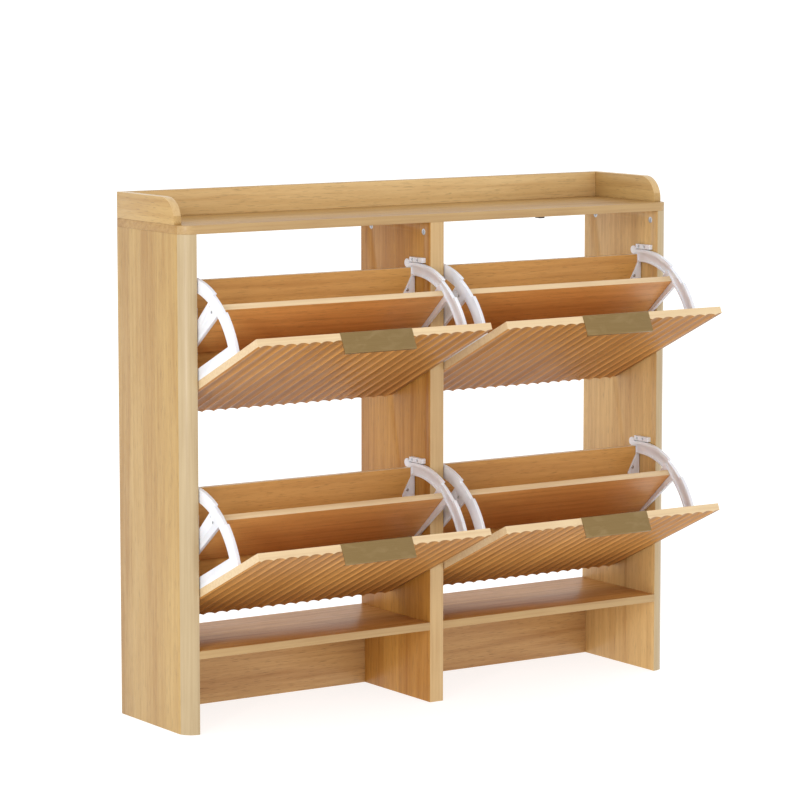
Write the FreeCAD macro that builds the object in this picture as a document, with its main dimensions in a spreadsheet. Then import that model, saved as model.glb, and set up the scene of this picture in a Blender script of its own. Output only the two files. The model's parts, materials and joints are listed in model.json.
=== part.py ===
"""Flip-front shoe cabinet: two columns of two tip-out compartments in a slim upright case.

Frame of the model: X to the right, Y to the back, Z up, in millimetres.  The origin is on the floor,
under the middle of the divider.  The compartments are drawn tipped open, resting on their stops.
"""
import FreeCAD, Part
import os

doc = FreeCAD.newDocument("ShoeCabinet")
sheet = doc.addObject("Spreadsheet::Sheet", "dims")

SIZES = [
    # the case
    ("overall_width", 1106),
    ("overall_depth", 240),
    ("side_thickness", 30),
    ("divider_thickness", 30),
    ("edge_radius", 28),
    ("top_thickness", 16),
    ("gallery_height", 49),
    ("gallery_thickness", 16),
    ("gallery_setback", 30),
    ("gallery_radius", 44),
    ("shelf_top", 155),
    ("shelf_thickness", 15),
    ("plinth_thickness", 12),
    # the fluted fronts and the gaps round them
    ("front_height", 369),
    ("front_thickness", 16),
    ("front_side_gap", 2.5),
    ("bottom_gap", 7.5),
    ("middle_gap", 13),
    ("top_gap", 4.5),
    ("flute_pitch", 25.4),
    ("flute_land", 0.6),
    ("flute_depth", 3),
    ("flute_lead", 4.5),
    # the pull on each front
    ("pull_width", 154),
    ("pull_reach", 23),
    ("pull_metal", 1.2),
    ("pull_lip", 4),
    ("pull_leg", 20),
    ("pull_screw_spread", 50),
    # the tipping gear; leans are measured from the front, about the pivot
    ("open_angle", 65),
    ("pivot_back", 38.5),
    ("pivot_up", 115.5),
    ("board_thickness", 12),
    ("board_end_gap", 0.3),
    ("mid_lean", 16),
    ("mid_offset", 30.3),
    ("mid_foot_gap", 3.5),
    ("mid_head_lap", 0.7),
    ("back_offset", 13.5),
    ("back_foot_gap", 0.3),
    ("back_head_lap", 14.5),
    # the moulded frames at the compartments' ends
    ("frame_depth", 7),
    ("frame_web", 4),
    ("rib_width", 2.5),
    ("arc_radius", 155.5),
    ("arc_width", 20),
    ("rim_width", 4.5),
    ("rim_gap_start", 9),
    ("rim_gap_length", 47),
    ("bar_width", 20.5),
    ("bar_foot_drop", 18),
    ("spoke_edge", 3),
    ("mid_spoke_foot", 15.5),
    ("mid_spoke_under_foot", 3.3),
    ("mid_spoke_over_foot", 21.7),
    ("mid_spoke_under_head", 10.8),
    ("mid_spoke_over_head", 26.2),
    ("peep_hole_rise", 12.5),
    ("flange_width", 20),
    ("flange_thickness", 2.5),
    ("flange_overrun", 10),
    ("gusset_foot", 34),
    ("gusset_head_drop", 20.5),
    ("hub_radius", 17),
    ("knob_radius", 8),
    ("knob_rise", 2.5),
    # pins and stops
    ("pin_radius", 4),
    ("pin_play", 0.06),
    ("pin_end_play", 0.3),
    ("plate_radius", 15),
    ("plate_thickness", 2),
    ("plate_screw_offset", 10),
    ("stop_length", 42.4),
    ("stop_screw_inset", 9),
    ("cam_screw_gap", 2),
    ("stop_height", 9),
    ("stop_depth", 9),
    ("stop_play", 0.4),
    ("closed_play", 0.3),
    ("rim_play", 1),
    # fixings
    ("screw_radius", 1.5),
    ("screw_head_radius", 3),
    ("screw_head_height", 1.6),
    ("hole_play", 0.1),
    ("screw_length", 11),
    ("end_screw_length", 28),
    ("cam_radius", 6),
    ("cam_depth", 11),
    ("cam_drop", 19),
    ("cam_inset", 24),
    ("bolt_radius", 3),
    ("bolt_rise", 10),
    ("dowel_radius", 4),
    ("dowel_length", 20),
    ("shelf_dowel_inset", 45),
    ("rail_dowel_inset", 40),
    ("catch_length", 16),
    ("catch_width", 12),
    ("catch_height", 6),
    ("catch_setback", 35.3),
]
for row_number, (alias, value) in enumerate(SIZES, start=1):
    sheet.set("A%d" % row_number, alias)
    sheet.set("B%d" % row_number, str(value))
    sheet.setAlias("B%d" % row_number, alias)
doc.recompute()

# --- worked-out places, as expressions over the sheet -------------------------------------------------

HALF_WIDTH = "(dims.overall_width / 2)"
FACE_Y = "(-dims.overall_depth / 2)"
BACK_Y = "(dims.overall_depth / 2)"
GAPS = "(dims.bottom_gap + dims.middle_gap + dims.top_gap)"
UNDER_TOP_Z = f"(dims.shelf_top + 2 * dims.front_height + {GAPS})"
TOP_Z = f"({UNDER_TOP_Z} + dims.top_thickness)"
EDGE_RADIUS = "min(dims.edge_radius; dims.side_thickness - 1)"
GALLERY_RADIUS = "min(dims.gallery_radius; dims.gallery_height - 1)"
SHELF_UNDER_Z = "(dims.shelf_top - dims.shelf_thickness)"
HALF_DIVIDER = "(dims.divider_thickness / 2)"
COLUMN_WIDTH = "((dims.overall_width - 2 * dims.side_thickness - dims.divider_thickness) / 2)"
COLUMN_X = f"({HALF_DIVIDER} + {COLUMN_WIDTH} / 2)"
FRONT_WIDTH = f"({COLUMN_WIDTH} - 2 * dims.front_side_gap)"
PIVOT_Y = f"({FACE_Y} + dims.pivot_back)"
LOWER_PIVOT_Z = "(dims.shelf_top + dims.bottom_gap + dims.pivot_up)"
UPPER_PIVOT_Z = f"({LOWER_PIVOT_Z} + dims.front_height + dims.middle_gap)"
PIVOT_Z = {"lower": LOWER_PIVOT_Z, "upper": UPPER_PIVOT_Z}

# places measured from the pivot, with the front upright
FRONT_FACE = "(-dims.pivot_back)"
FRONT_INNER = "(dims.front_thickness - dims.pivot_back)"
FRONT_FOOT = "(-dims.pivot_up)"
FRONT_HEAD = "(dims.front_height - dims.pivot_up)"
BOARD_LENGTH = f"({FRONT_WIDTH} - 2 * (dims.frame_depth + dims.board_end_gap))"
ARC_OUTER = "(dims.arc_radius + dims.arc_width)"
RIM_OUTER = f"({ARC_OUTER} + dims.rim_width)"
BACK_LEAN = "dims.open_angle"
BOARDS_ANGLE = f"({BACK_LEAN} - dims.mid_lean)"
MID_BACK = "(dims.mid_offset + dims.board_thickness)"
MID_CENTRE = "(dims.mid_offset + dims.board_thickness / 2)"
MID_CORNER = "(dims.back_offset - dims.mid_foot_gap)"
MID_FOOT = f"(({MID_BACK} * cos({BOARDS_ANGLE}) - {MID_CORNER}) / sin({BOARDS_ANGLE}))"
MID_HEAD = "(dims.arc_radius + dims.mid_head_lap)"
BACK_FOOT_CLEAR = f"({FRONT_INNER} + dims.flange_thickness + dims.back_foot_gap)"
BACK_FOOT = f"(({BACK_FOOT_CLEAR} - dims.back_offset * cos({BACK_LEAN})) / sin({BACK_LEAN}))"
BACK_HEAD = "(dims.arc_radius + dims.back_head_lap)"
BAR_FOOT = "(-dims.bar_foot_drop)"
FLANGE_HEAD = f"({RIM_OUTER} + dims.flange_overrun)"
GUSSET_HEAD = f"({ARC_OUTER} - dims.gusset_head_drop)"
GUSSET_FRONT = "(dims.back_offset - dims.flange_thickness)"
SPOKE_BACK = "(dims.back_offset + dims.board_thickness + dims.spoke_edge)"
STOP_FRONT = f"({FRONT_INNER} + dims.closed_play)"
STOP_BOTTOM = f"({RIM_OUTER} + dims.rim_play)"
KNOB_Z = f"({ARC_OUTER} + dims.knob_rise)"
KNOB_TOUCH = f"sqrt(dims.knob_radius ^ 2 - ({STOP_BOTTOM} - {KNOB_Z}) ^ 2)"
KNOB_Y = f"({STOP_FRONT} + dims.stop_length + dims.stop_play + {KNOB_TOUCH})"


def between(low, high, share):
    """Give the place a share of the way along a piece that runs from low to high."""
    return f"({low} + {share} * ({high} - {low}))"


FLANGE_SCREWS = [between(BAR_FOOT, FLANGE_HEAD, share) for share in (0.15, 0.49, 0.83)]
GUSSET_SHOULDER = between("dims.gusset_foot", GUSSET_HEAD, 0.7)
GUSSET_SCREWS = [between("dims.gusset_foot", GUSSET_HEAD, share) for share in (0.3, 0.78)]
MID_END_SCREWS = [between(MID_FOOT, MID_HEAD, share) for share in (0.22, 0.9)]

X_AXIS = FreeCAD.Vector(1, 0, 0)
Y_AXIS = FreeCAD.Vector(0, 1, 0)
COLUMN_SIGNS = {"left": -1, "right": 1}
nodes = []


# --- helpers ------------------------------------------------------------------------------------------

def bind(thing, **expressions):
    """Bind properties of an object to expressions."""
    for name, expression in expressions.items():
        thing.setExpression(name, str(expression))


def place(thing, x="0", y="0", z="0", lean=None, axis="z"):
    """Place a solid at x, y, z of a frame that leans back about X, its own Z along the given axis."""
    upright = {"z": 0, "y": -90, "-y": 90}
    if axis == "x":
        thing.Placement = FreeCAD.Placement(FreeCAD.Vector(), FreeCAD.Rotation(Y_AXIS, 90))
    else:
        thing.Placement = FreeCAD.Placement(FreeCAD.Vector(), FreeCAD.Rotation(X_AXIS, 1))
        thing.setExpression("Placement.Rotation.Angle", f"({upright[axis]} - ({lean or 0})) * 1 deg")
    thing.setExpression("Placement.Base.x", str(x))
    if lean is None:
        thing.setExpression("Placement.Base.y", str(y))
        thing.setExpression("Placement.Base.z", str(z))
    else:
        thing.setExpression("Placement.Base.y", f"({y}) * cos({lean}) + ({z}) * sin({lean})")
        thing.setExpression("Placement.Base.z", f"({z}) * cos({lean}) - ({y}) * sin({lean})")


def new_body(label):
    """Start a sub-part."""
    body = doc.addObject("PartDesign::Body", label)
    body.Label = label
    nodes.append(body)
    return body


def box(body, name, length, width, height, cut=False, **where):
    """Add or cut a block of the given X, Y and Z sizes."""
    kind = "SubtractiveBox" if cut else "AdditiveBox"
    block = body.newObject("PartDesign::" + kind, name)
    bind(block, Length=length, Width=width, Height=height)
    place(block, **where)
    return block


def disc(body, name, radius, height, cut=False, **where):
    """Add or cut a round of the given radius and height."""
    kind = "SubtractiveCylinder" if cut else "AdditiveCylinder"
    round_block = body.newObject("PartDesign::" + kind, name)
    bind(round_block, Radius=radius, Height=height)
    place(round_block, **where)
    return round_block


def round_edge(body, name, radius, test):
    """Round the edges of the body's tip whose middles pass the test."""
    doc.recompute()
    tip = body.Tip
    picked = []
    for number, edge in enumerate(tip.Shape.Edges, start=1):
        if test(edge.CenterOfMass):
            picked.append("Edge%d" % number)
    fillet = body.newObject("PartDesign::Fillet", name)
    fillet.Base = (tip, picked)
    bind(fillet, Radius=radius)
    return fillet


def near(value, target):
    """Say whether two lengths agree."""
    return abs(value - target) < 0.01


def value_of(expression):
    """Give the number that an expression over the sheet comes to."""
    return float(sheet.evalExpression(expression))


def screw(label, x, y, z, axis, length="dims.screw_length", lean=None, reverse=False):
    """Make one screw: a low head whose under face is at x, y, z, and a shank that runs along the axis."""
    head = doc.addObject("Part::Cylinder", label + "_head")
    bind(head, Radius="dims.screw_head_radius", Height="dims.screw_head_height")
    shank = doc.addObject("Part::Cylinder", label + "_shank")
    bind(shank, Radius="dims.screw_radius", Height=length)
    if axis == "x":
        shank_x = f"({x}) - {length}" if reverse else x
        head_x = x if reverse else f"({x}) - dims.screw_head_height"
        place(head, head_x, y, z, lean, "x")
        place(shank, shank_x, y, z, lean, "x")
    else:
        head_y = f"({y}) + dims.screw_head_height" if axis == "-y" else f"({y}) - dims.screw_head_height"
        place(head, x, head_y, z, lean, axis)
        place(shank, x, y, z, lean, axis)
    whole = doc.addObject("Part::Fuse", label)
    whole.Base = head
    whole.Tool = shank
    return whole


def group(label, links):
    """Make one sub-part out of identical separate solids."""
    compound = doc.addObject("Part::Compound", label)
    compound.Label = label
    compound.Links = links
    nodes.append(compound)
    return compound


# --- the case -----------------------------------------------------------------------------------------

HOLE_RADIUS = "(dims.screw_radius + dims.hole_play)"
PLATE_SCREW_DEPTH = "(dims.screw_length - dims.plate_thickness + dims.hole_play + dims.screw_head_height)"
STOP_SCREW_GRIP = "(dims.stop_depth - dims.screw_head_height)"
STOP_SCREW_LENGTH = f"({STOP_SCREW_GRIP} + dims.screw_length)"
STOP_SCREW_DEPTH = "(dims.screw_length + dims.hole_play)"
CAM_Z = f"({UNDER_TOP_Z} - dims.cam_drop)"
CAM_YS = (f"({FACE_Y} + dims.cam_inset)", f"({BACK_Y} - dims.cam_inset - dims.plinth_thickness)")
DOWEL_HOLE = "(dims.dowel_radius + dims.hole_play)"
DOWEL_DEPTH = "(dims.dowel_length / 2 + dims.hole_play)"
STOP_SCREW_FRONT_Y = f"({FACE_Y} + dims.cam_inset + dims.cam_radius + dims.cam_screw_gap)"
STOP_SCREW_BACK_Y = f"({PIVOT_Y} + {STOP_FRONT} + dims.stop_length - dims.stop_screw_inset)"
SHELF_DOWEL_YS = (f"({FACE_Y} + dims.shelf_dowel_inset)", f"({BACK_Y} - dims.shelf_dowel_inset)")
SHELF_DOWEL_Z = "(dims.shelf_top - dims.shelf_thickness / 2)"
RAIL_DOWEL_YS = (f"({FACE_Y} + dims.gallery_setback + dims.rail_dowel_inset)",
                 f"({BACK_Y} - dims.rail_dowel_inset)")
BACK_DOWEL_XS = (f"(-{HALF_WIDTH} / 2)", "0", f"({HALF_WIDTH} / 2)")


def hardware_places():
    """Give the y and z of every screw that holds a pin plate or a stop, with its kind."""
    places = []
    for level in ("lower", "upper"):
        for sign in (-1, 1):
            places.append((PIVOT_Y, f"({PIVOT_Z[level]} + {sign} * dims.plate_screw_offset)", "plate", level))
        for y in (STOP_SCREW_FRONT_Y, STOP_SCREW_BACK_Y):
            z = f"({PIVOT_Z[level]} + {STOP_BOTTOM} + dims.stop_height / 2)"
            places.append((y, z, "stop", level))
    return places


def drill_wall(body, face_x, inward, cams):
    """Drill one upright's face for its pin plates, stops, shelf dowels and, where it has them, cams.

    face_x is the face, and inward is +1 where the wood lies to its right and -1 where it lies to its left.
    """
    side = "R" if inward > 0 else "L"

    def start(depth):
        return face_x if inward > 0 else f"({face_x} - {depth})"

    for number, (y, z, kind, _level) in enumerate(hardware_places()):
        depth = PLATE_SCREW_DEPTH if kind == "plate" else STOP_SCREW_DEPTH
        disc(body, f"Pilot{side}{number}", HOLE_RADIUS, depth, cut=True, x=start(depth), y=y, z=z, axis="x")
    for number, y in enumerate(SHELF_DOWEL_YS):
        disc(body, f"Dowel{side}{number}", DOWEL_HOLE, DOWEL_DEPTH, cut=True,
             x=start(DOWEL_DEPTH), y=y, z=SHELF_DOWEL_Z, axis="x")
    if cams:
        depth = "(dims.cam_depth + dims.hole_play)"
        for number, y in enumerate(CAM_YS):
            disc(body, f"Cam{side}{number}", "(dims.cam_radius + dims.hole_play)", depth, cut=True,
                 x=start(depth), y=y, z=CAM_Z, axis="x")


def bolt_x(face_x, inward):
    """Give the x of the cam bolts behind an upright's face."""
    return f"({face_x} + ({inward}) * dims.cam_depth / 2)"


def drill_bolts(body, x):
    """Drill an upright's head for the bolts that come down from the top board into its cams."""
    for number, y in enumerate(CAM_YS):
        disc(body, f"Bolt{number}", "(dims.bolt_radius + dims.hole_play)", "dims.cam_drop", cut=True,
             x=x, y=y, z=CAM_Z)


WALL_FACES = {
    # upright face: its x, and the side on which the wood lies
    "left_side": (f"(dims.side_thickness - {HALF_WIDTH})", -1),
    "divider_left": (f"(-{HALF_DIVIDER})", 1),
    "divider_right": (f"({HALF_DIVIDER})", -1),
    "right_side": (f"({HALF_WIDTH} - dims.side_thickness)", 1),
}
CAM_FACES = ("left_side", "divider_left", "right_side")


def make_side(label, sign):
    """Make an upright side: a thick board whose outer front edge is a quarter round."""
    body = new_body(label)
    x = f"(-{HALF_WIDTH})" if sign < 0 else f"({HALF_WIDTH} - dims.side_thickness)"
    box(body, "Board", "dims.side_thickness", "dims.overall_depth", UNDER_TOP_Z, x=x, y=FACE_Y)
    outer_x = sign * value_of(HALF_WIDTH)
    face_y = value_of(FACE_Y)
    round_edge(body, "FrontRound", EDGE_RADIUS,
               lambda point: near(point.x, outer_x) and near(point.y, face_y))
    face_x, inward = WALL_FACES[label]
    drill_wall(body, face_x, inward, cams=True)
    drill_bolts(body, bolt_x(face_x, inward))


def make_divider():
    """Make the upright between the two columns."""
    body = new_body("divider")
    box(body, "Board", "dims.divider_thickness", "dims.overall_depth", UNDER_TOP_Z,
        x=f"(-{HALF_DIVIDER})", y=FACE_Y)
    face_x, inward = WALL_FACES["divider_left"]
    drill_wall(body, face_x, inward, cams=True)
    drill_bolts(body, bolt_x(face_x, inward))
    face_x, inward = WALL_FACES["divider_right"]
    drill_wall(body, face_x, inward, cams=False)


def rail_dowel_places():
    """Give the x and y of every dowel between the top board and the gallery."""
    inset = "dims.gallery_thickness / 2"
    places = []
    for sign in (-1, 1):
        places += [(f"({sign} * ({HALF_WIDTH} - {inset}))", y) for y in RAIL_DOWEL_YS]
    places += [(x, f"({BACK_Y} - {inset})") for x in BACK_DOWEL_XS]
    return places


def make_top():
    """Make the top board, with its two front corners rounded like the sides under them."""
    body = new_body("top_board")
    box(body, "Board", "dims.overall_width", "dims.overall_depth", "dims.top_thickness",
        x=f"(-{HALF_WIDTH})", y=FACE_Y, z=UNDER_TOP_Z)
    half_width = value_of(HALF_WIDTH)
    face_y = value_of(FACE_Y)
    round_edge(body, "CornerRounds", EDGE_RADIUS,
               lambda point: near(abs(point.x), half_width) and near(point.y, face_y))
    for number, (x, y) in enumerate(rail_dowel_places()):
        disc(body, f"Dowel{number}", DOWEL_HOLE, DOWEL_DEPTH, cut=True,
             x=x, y=y, z=f"({TOP_Z} - {DOWEL_DEPTH})")
    for face in CAM_FACES:
        for number, y in enumerate(CAM_YS):
            disc(body, f"Bolt_{face}{number}", "(dims.bolt_radius + dims.hole_play)",
                 "(dims.bolt_rise + dims.hole_play)", cut=True, x=bolt_x(*WALL_FACES[face]), y=y, z=UNDER_TOP_Z)


def make_gallery():
    """Make the low rail round three sides of the top: two ends with a rounded front, and the back."""
    end_depth = "(dims.overall_depth - dims.gallery_setback)"
    setback_y = f"({FACE_Y} + dims.gallery_setback)"
    for label, sign in (("left_rail", -1), ("right_rail", 1)):
        body = new_body(label)
        x = f"(-{HALF_WIDTH})" if sign < 0 else f"({HALF_WIDTH} - dims.gallery_thickness)"
        box(body, "Board", "dims.gallery_thickness", end_depth, "dims.gallery_height",
            x=x, y=setback_y, z=TOP_Z)
        front = value_of(setback_y)
        head = value_of(f"{TOP_Z} + dims.gallery_height")
        round_edge(body, "FrontRound", GALLERY_RADIUS,
                   lambda point: near(point.y, front) and near(point.z, head))
        for number, (dowel_x, dowel_y) in enumerate(rail_dowel_places()[:4]):
            if (number < 2) == (sign < 0):
                disc(body, f"Dowel{number}", DOWEL_HOLE, DOWEL_DEPTH, cut=True, x=dowel_x, y=dowel_y, z=TOP_Z)
    body = new_body("back_rail")
    box(body, "Board", "(dims.overall_width - 2 * dims.gallery_thickness)", "dims.gallery_thickness",
        "dims.gallery_height", x=f"(dims.gallery_thickness - {HALF_WIDTH})",
        y=f"({BACK_Y} - dims.gallery_thickness)", z=TOP_Z)
    for number, (dowel_x, dowel_y) in enumerate(rail_dowel_places()[4:]):
        disc(body, f"Dowel{number}", DOWEL_HOLE, DOWEL_DEPTH, cut=True, x=dowel_x, y=dowel_y, z=TOP_Z)


def column_left_x(sign):
    """Give the x of a column's left wall face."""
    return WALL_FACES["left_side"][0] if sign < 0 else WALL_FACES["divider_right"][0]


def make_base(side):
    """Make one column's bottom shelf and the plinth board that closes its back under the shelf."""
    x = column_left_x(COLUMN_SIGNS[side])
    shelf = new_body(side + "_shelf")
    box(shelf, "Board", COLUMN_WIDTH, "dims.overall_depth", "dims.shelf_thickness",
        x=x, y=FACE_Y, z=SHELF_UNDER_Z)
    for number, y in enumerate(SHELF_DOWEL_YS):
        disc(shelf, f"DowelL{number}", DOWEL_HOLE, DOWEL_DEPTH, cut=True, x=x, y=y, z=SHELF_DOWEL_Z, axis="x")
        disc(shelf, f"DowelR{number}", DOWEL_HOLE, DOWEL_DEPTH, cut=True,
             x=f"({x} + {COLUMN_WIDTH} - {DOWEL_DEPTH})", y=y, z=SHELF_DOWEL_Z, axis="x")
    plinth = new_body(side + "_plinth_board")
    box(plinth, "Board", COLUMN_WIDTH, "dims.plinth_thickness", SHELF_UNDER_Z,
        x=x, y=f"({BACK_Y} - dims.plinth_thickness)")


# --- one tip-out compartment --------------------------------------------------------------------------

def seat(body, side, level, lean="0"):
    """Put a compartment's piece on its pivot, tipped open, leaning back from the front by lean."""
    sign = COLUMN_SIGNS[side]
    body.Placement = FreeCAD.Placement(FreeCAD.Vector(), FreeCAD.Rotation(X_AXIS, 1))
    body.setExpression("Placement.Rotation.Angle", f"(dims.open_angle - {lean}) * 1 deg")
    body.setExpression("Placement.Base.x", f"{sign} * {COLUMN_X}")
    body.setExpression("Placement.Base.y", PIVOT_Y)
    body.setExpression("Placement.Base.z", PIVOT_Z[level])


def slab_x(sign, inset, depth):
    """Give the low x of a slab that starts inset from a front's end and is depth thick."""
    if sign < 0:
        return f"({inset} - {FRONT_WIDTH} / 2)"
    return f"({FRONT_WIDTH} / 2 - {inset} - {depth})"


def make_front(side, level):
    """Make a front: a board with upright coves side by side all over its face."""
    body = new_body(f"{level}_{side}_front")
    box(body, "Board", FRONT_WIDTH, "dims.front_thickness", "dims.front_height",
        x=f"(-{FRONT_WIDTH} / 2)", y=FRONT_FACE, z=FRONT_FOOT)
    drill_front(body)
    chord = "(dims.flute_pitch - dims.flute_land)"
    radius = f"(({chord} / 2) ^ 2 + dims.flute_depth ^ 2) / (2 * dims.flute_depth)"
    cove = disc(body, "Cove", radius, "dims.front_height", cut=True,
                x=f"(dims.flute_lead - dims.flute_pitch / 2 - {FRONT_WIDTH} / 2)",
                y=f"({FRONT_FACE} + dims.flute_depth - {radius})", z=FRONT_FOOT)
    count = f"(ceil(({FRONT_WIDTH} - dims.flute_lead) / dims.flute_pitch) + 1)"
    flutes = body.newObject("PartDesign::LinearPattern", "Flutes")
    flutes.Originals = [cove]
    across = [axis for axis in body.Origin.OriginFeatures if axis.Role == "X_Axis"][0]
    flutes.Direction = (across, [""])
    bind(flutes, Length=f"({count} - 1) * dims.flute_pitch", Occurrences=count)
    body.Tip = flutes
    seat(body, side, level)


def drill_front(body):
    """Drill a front's inner face for the frame flanges' screws and the pull's."""
    depth = "(dims.screw_length - dims.flange_thickness + dims.hole_play)"
    pull_depth = "(dims.screw_length - dims.pull_metal + dims.hole_play)"
    for sign in (-1, 1):
        x = flange_centre(sign)
        for number, z in enumerate(FLANGE_SCREWS):
            disc(body, f"Pilot{'LR'[sign > 0]}{number}", HOLE_RADIUS, depth, cut=True,
                 x=x, y=FRONT_INNER, z=z, axis="-y")
        disc(body, f"PullPilot{'LR'[sign > 0]}", HOLE_RADIUS, pull_depth, cut=True,
             x=f"({sign} * dims.pull_screw_spread)", y=FRONT_INNER, z=PULL_SCREW_Z, axis="-y")


PULL_SCREW_Z = f"({FRONT_HEAD} - dims.pull_leg / 2)"


def make_pull(side, level):
    """Make a pull: a bent strip that lies on the front's top edge, with a small lip and an inner leg."""
    body = new_body(f"{level}_{side}_pull")
    x = "(-dims.pull_width / 2)"
    box(body, "Plate", "dims.pull_width", "(dims.pull_reach + dims.front_thickness + dims.pull_metal)",
        "dims.pull_metal", x=x, y=f"({FRONT_FACE} - dims.pull_reach)", z=FRONT_HEAD)
    box(body, "Lip", "dims.pull_width", "dims.pull_metal", "(dims.pull_lip + dims.pull_metal)",
        x=x, y=f"({FRONT_FACE} - dims.pull_reach)", z=f"({FRONT_HEAD} - dims.pull_lip)")
    box(body, "Leg", "dims.pull_width", "dims.pull_metal", "(dims.pull_leg + dims.pull_metal)",
        x=x, y=FRONT_INNER, z=f"({FRONT_HEAD} - dims.pull_leg)")
    for sign in (-1, 1):
        disc(body, f"Hole{'LR'[sign > 0]}", HOLE_RADIUS, "dims.pull_metal", cut=True,
             x=f"({sign} * dims.pull_screw_spread)", y=f"({FRONT_INNER} + dims.pull_metal)", z=PULL_SCREW_Z, axis="-y")
    seat(body, side, level)


def make_boards(side, level):
    """Make the middle and the back board, which stop the shoes in the two pockets."""
    mid = new_body(f"{level}_{side}_mid_board")
    box(mid, "Board", BOARD_LENGTH, "dims.board_thickness", f"({MID_HEAD} - {MID_FOOT})",
        x=f"(-{BOARD_LENGTH} / 2)", y="dims.mid_offset", z=MID_FOOT)
    depth = "(dims.end_screw_length - dims.frame_depth + dims.screw_head_height)"
    for number, z in enumerate(MID_END_SCREWS):
        disc(mid, f"EndL{number}", HOLE_RADIUS, depth, cut=True,
             x=f"(-{BOARD_LENGTH} / 2)", y=MID_CENTRE, z=z, axis="x")
        disc(mid, f"EndR{number}", HOLE_RADIUS, depth, cut=True,
             x=f"({BOARD_LENGTH} / 2 - {depth})", y=MID_CENTRE, z=z, axis="x")
    seat(mid, side, level, "dims.mid_lean")
    back = new_body(f"{level}_{side}_back_board")
    box(back, "Board", BOARD_LENGTH, "dims.board_thickness", f"({BACK_HEAD} - {BACK_FOOT})",
        x=f"(-{BOARD_LENGTH} / 2)", y="dims.back_offset", z=BACK_FOOT)
    depth = "(dims.screw_length - dims.flange_thickness + dims.hole_play)"
    for sign in (-1, 1):
        for number, z in enumerate(GUSSET_SCREWS):
            disc(back, f"Pilot{'LR'[sign > 0]}{number}", HOLE_RADIUS, depth, cut=True,
                 x=flange_centre(sign), y="dims.back_offset", z=z, axis="y")
    seat(back, side, level, BACK_LEAN)


def flange_centre(sign):
    """Give the x of the middle of a frame's flange."""
    return f"({sign}) * ({FRONT_WIDTH} / 2 - dims.frame_depth - dims.flange_width / 2)"


def wedge(body, name, sign, inset, near_depth, far_depth, along, near_across, far_across, lean):
    """Add a block that tapers from one end to the other, in a frame that leans back about X."""
    block = body.newObject("PartDesign::AdditiveWedge", name)
    ends = (("", near_depth, near_across), ("2", far_depth, far_across))
    bind(block, Ymin=along[0], Ymax=along[1])
    for tag, depth, across in ends:
        low = "0" if sign < 0 else f"(-({depth}))"
        high = depth if sign < 0 else "0"
        bind(block, **{f"X{tag}min": low, f"X{tag}max": high})
        bind(block, **{f"Z{tag}min": f"-({across[1]})", f"Z{tag}max": f"-({across[0]})"})
    x = f"({inset} - {FRONT_WIDTH} / 2)" if sign < 0 else f"({FRONT_WIDTH} / 2 - {inset})"
    place(block, x=x, lean=lean, axis="-y")


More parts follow.
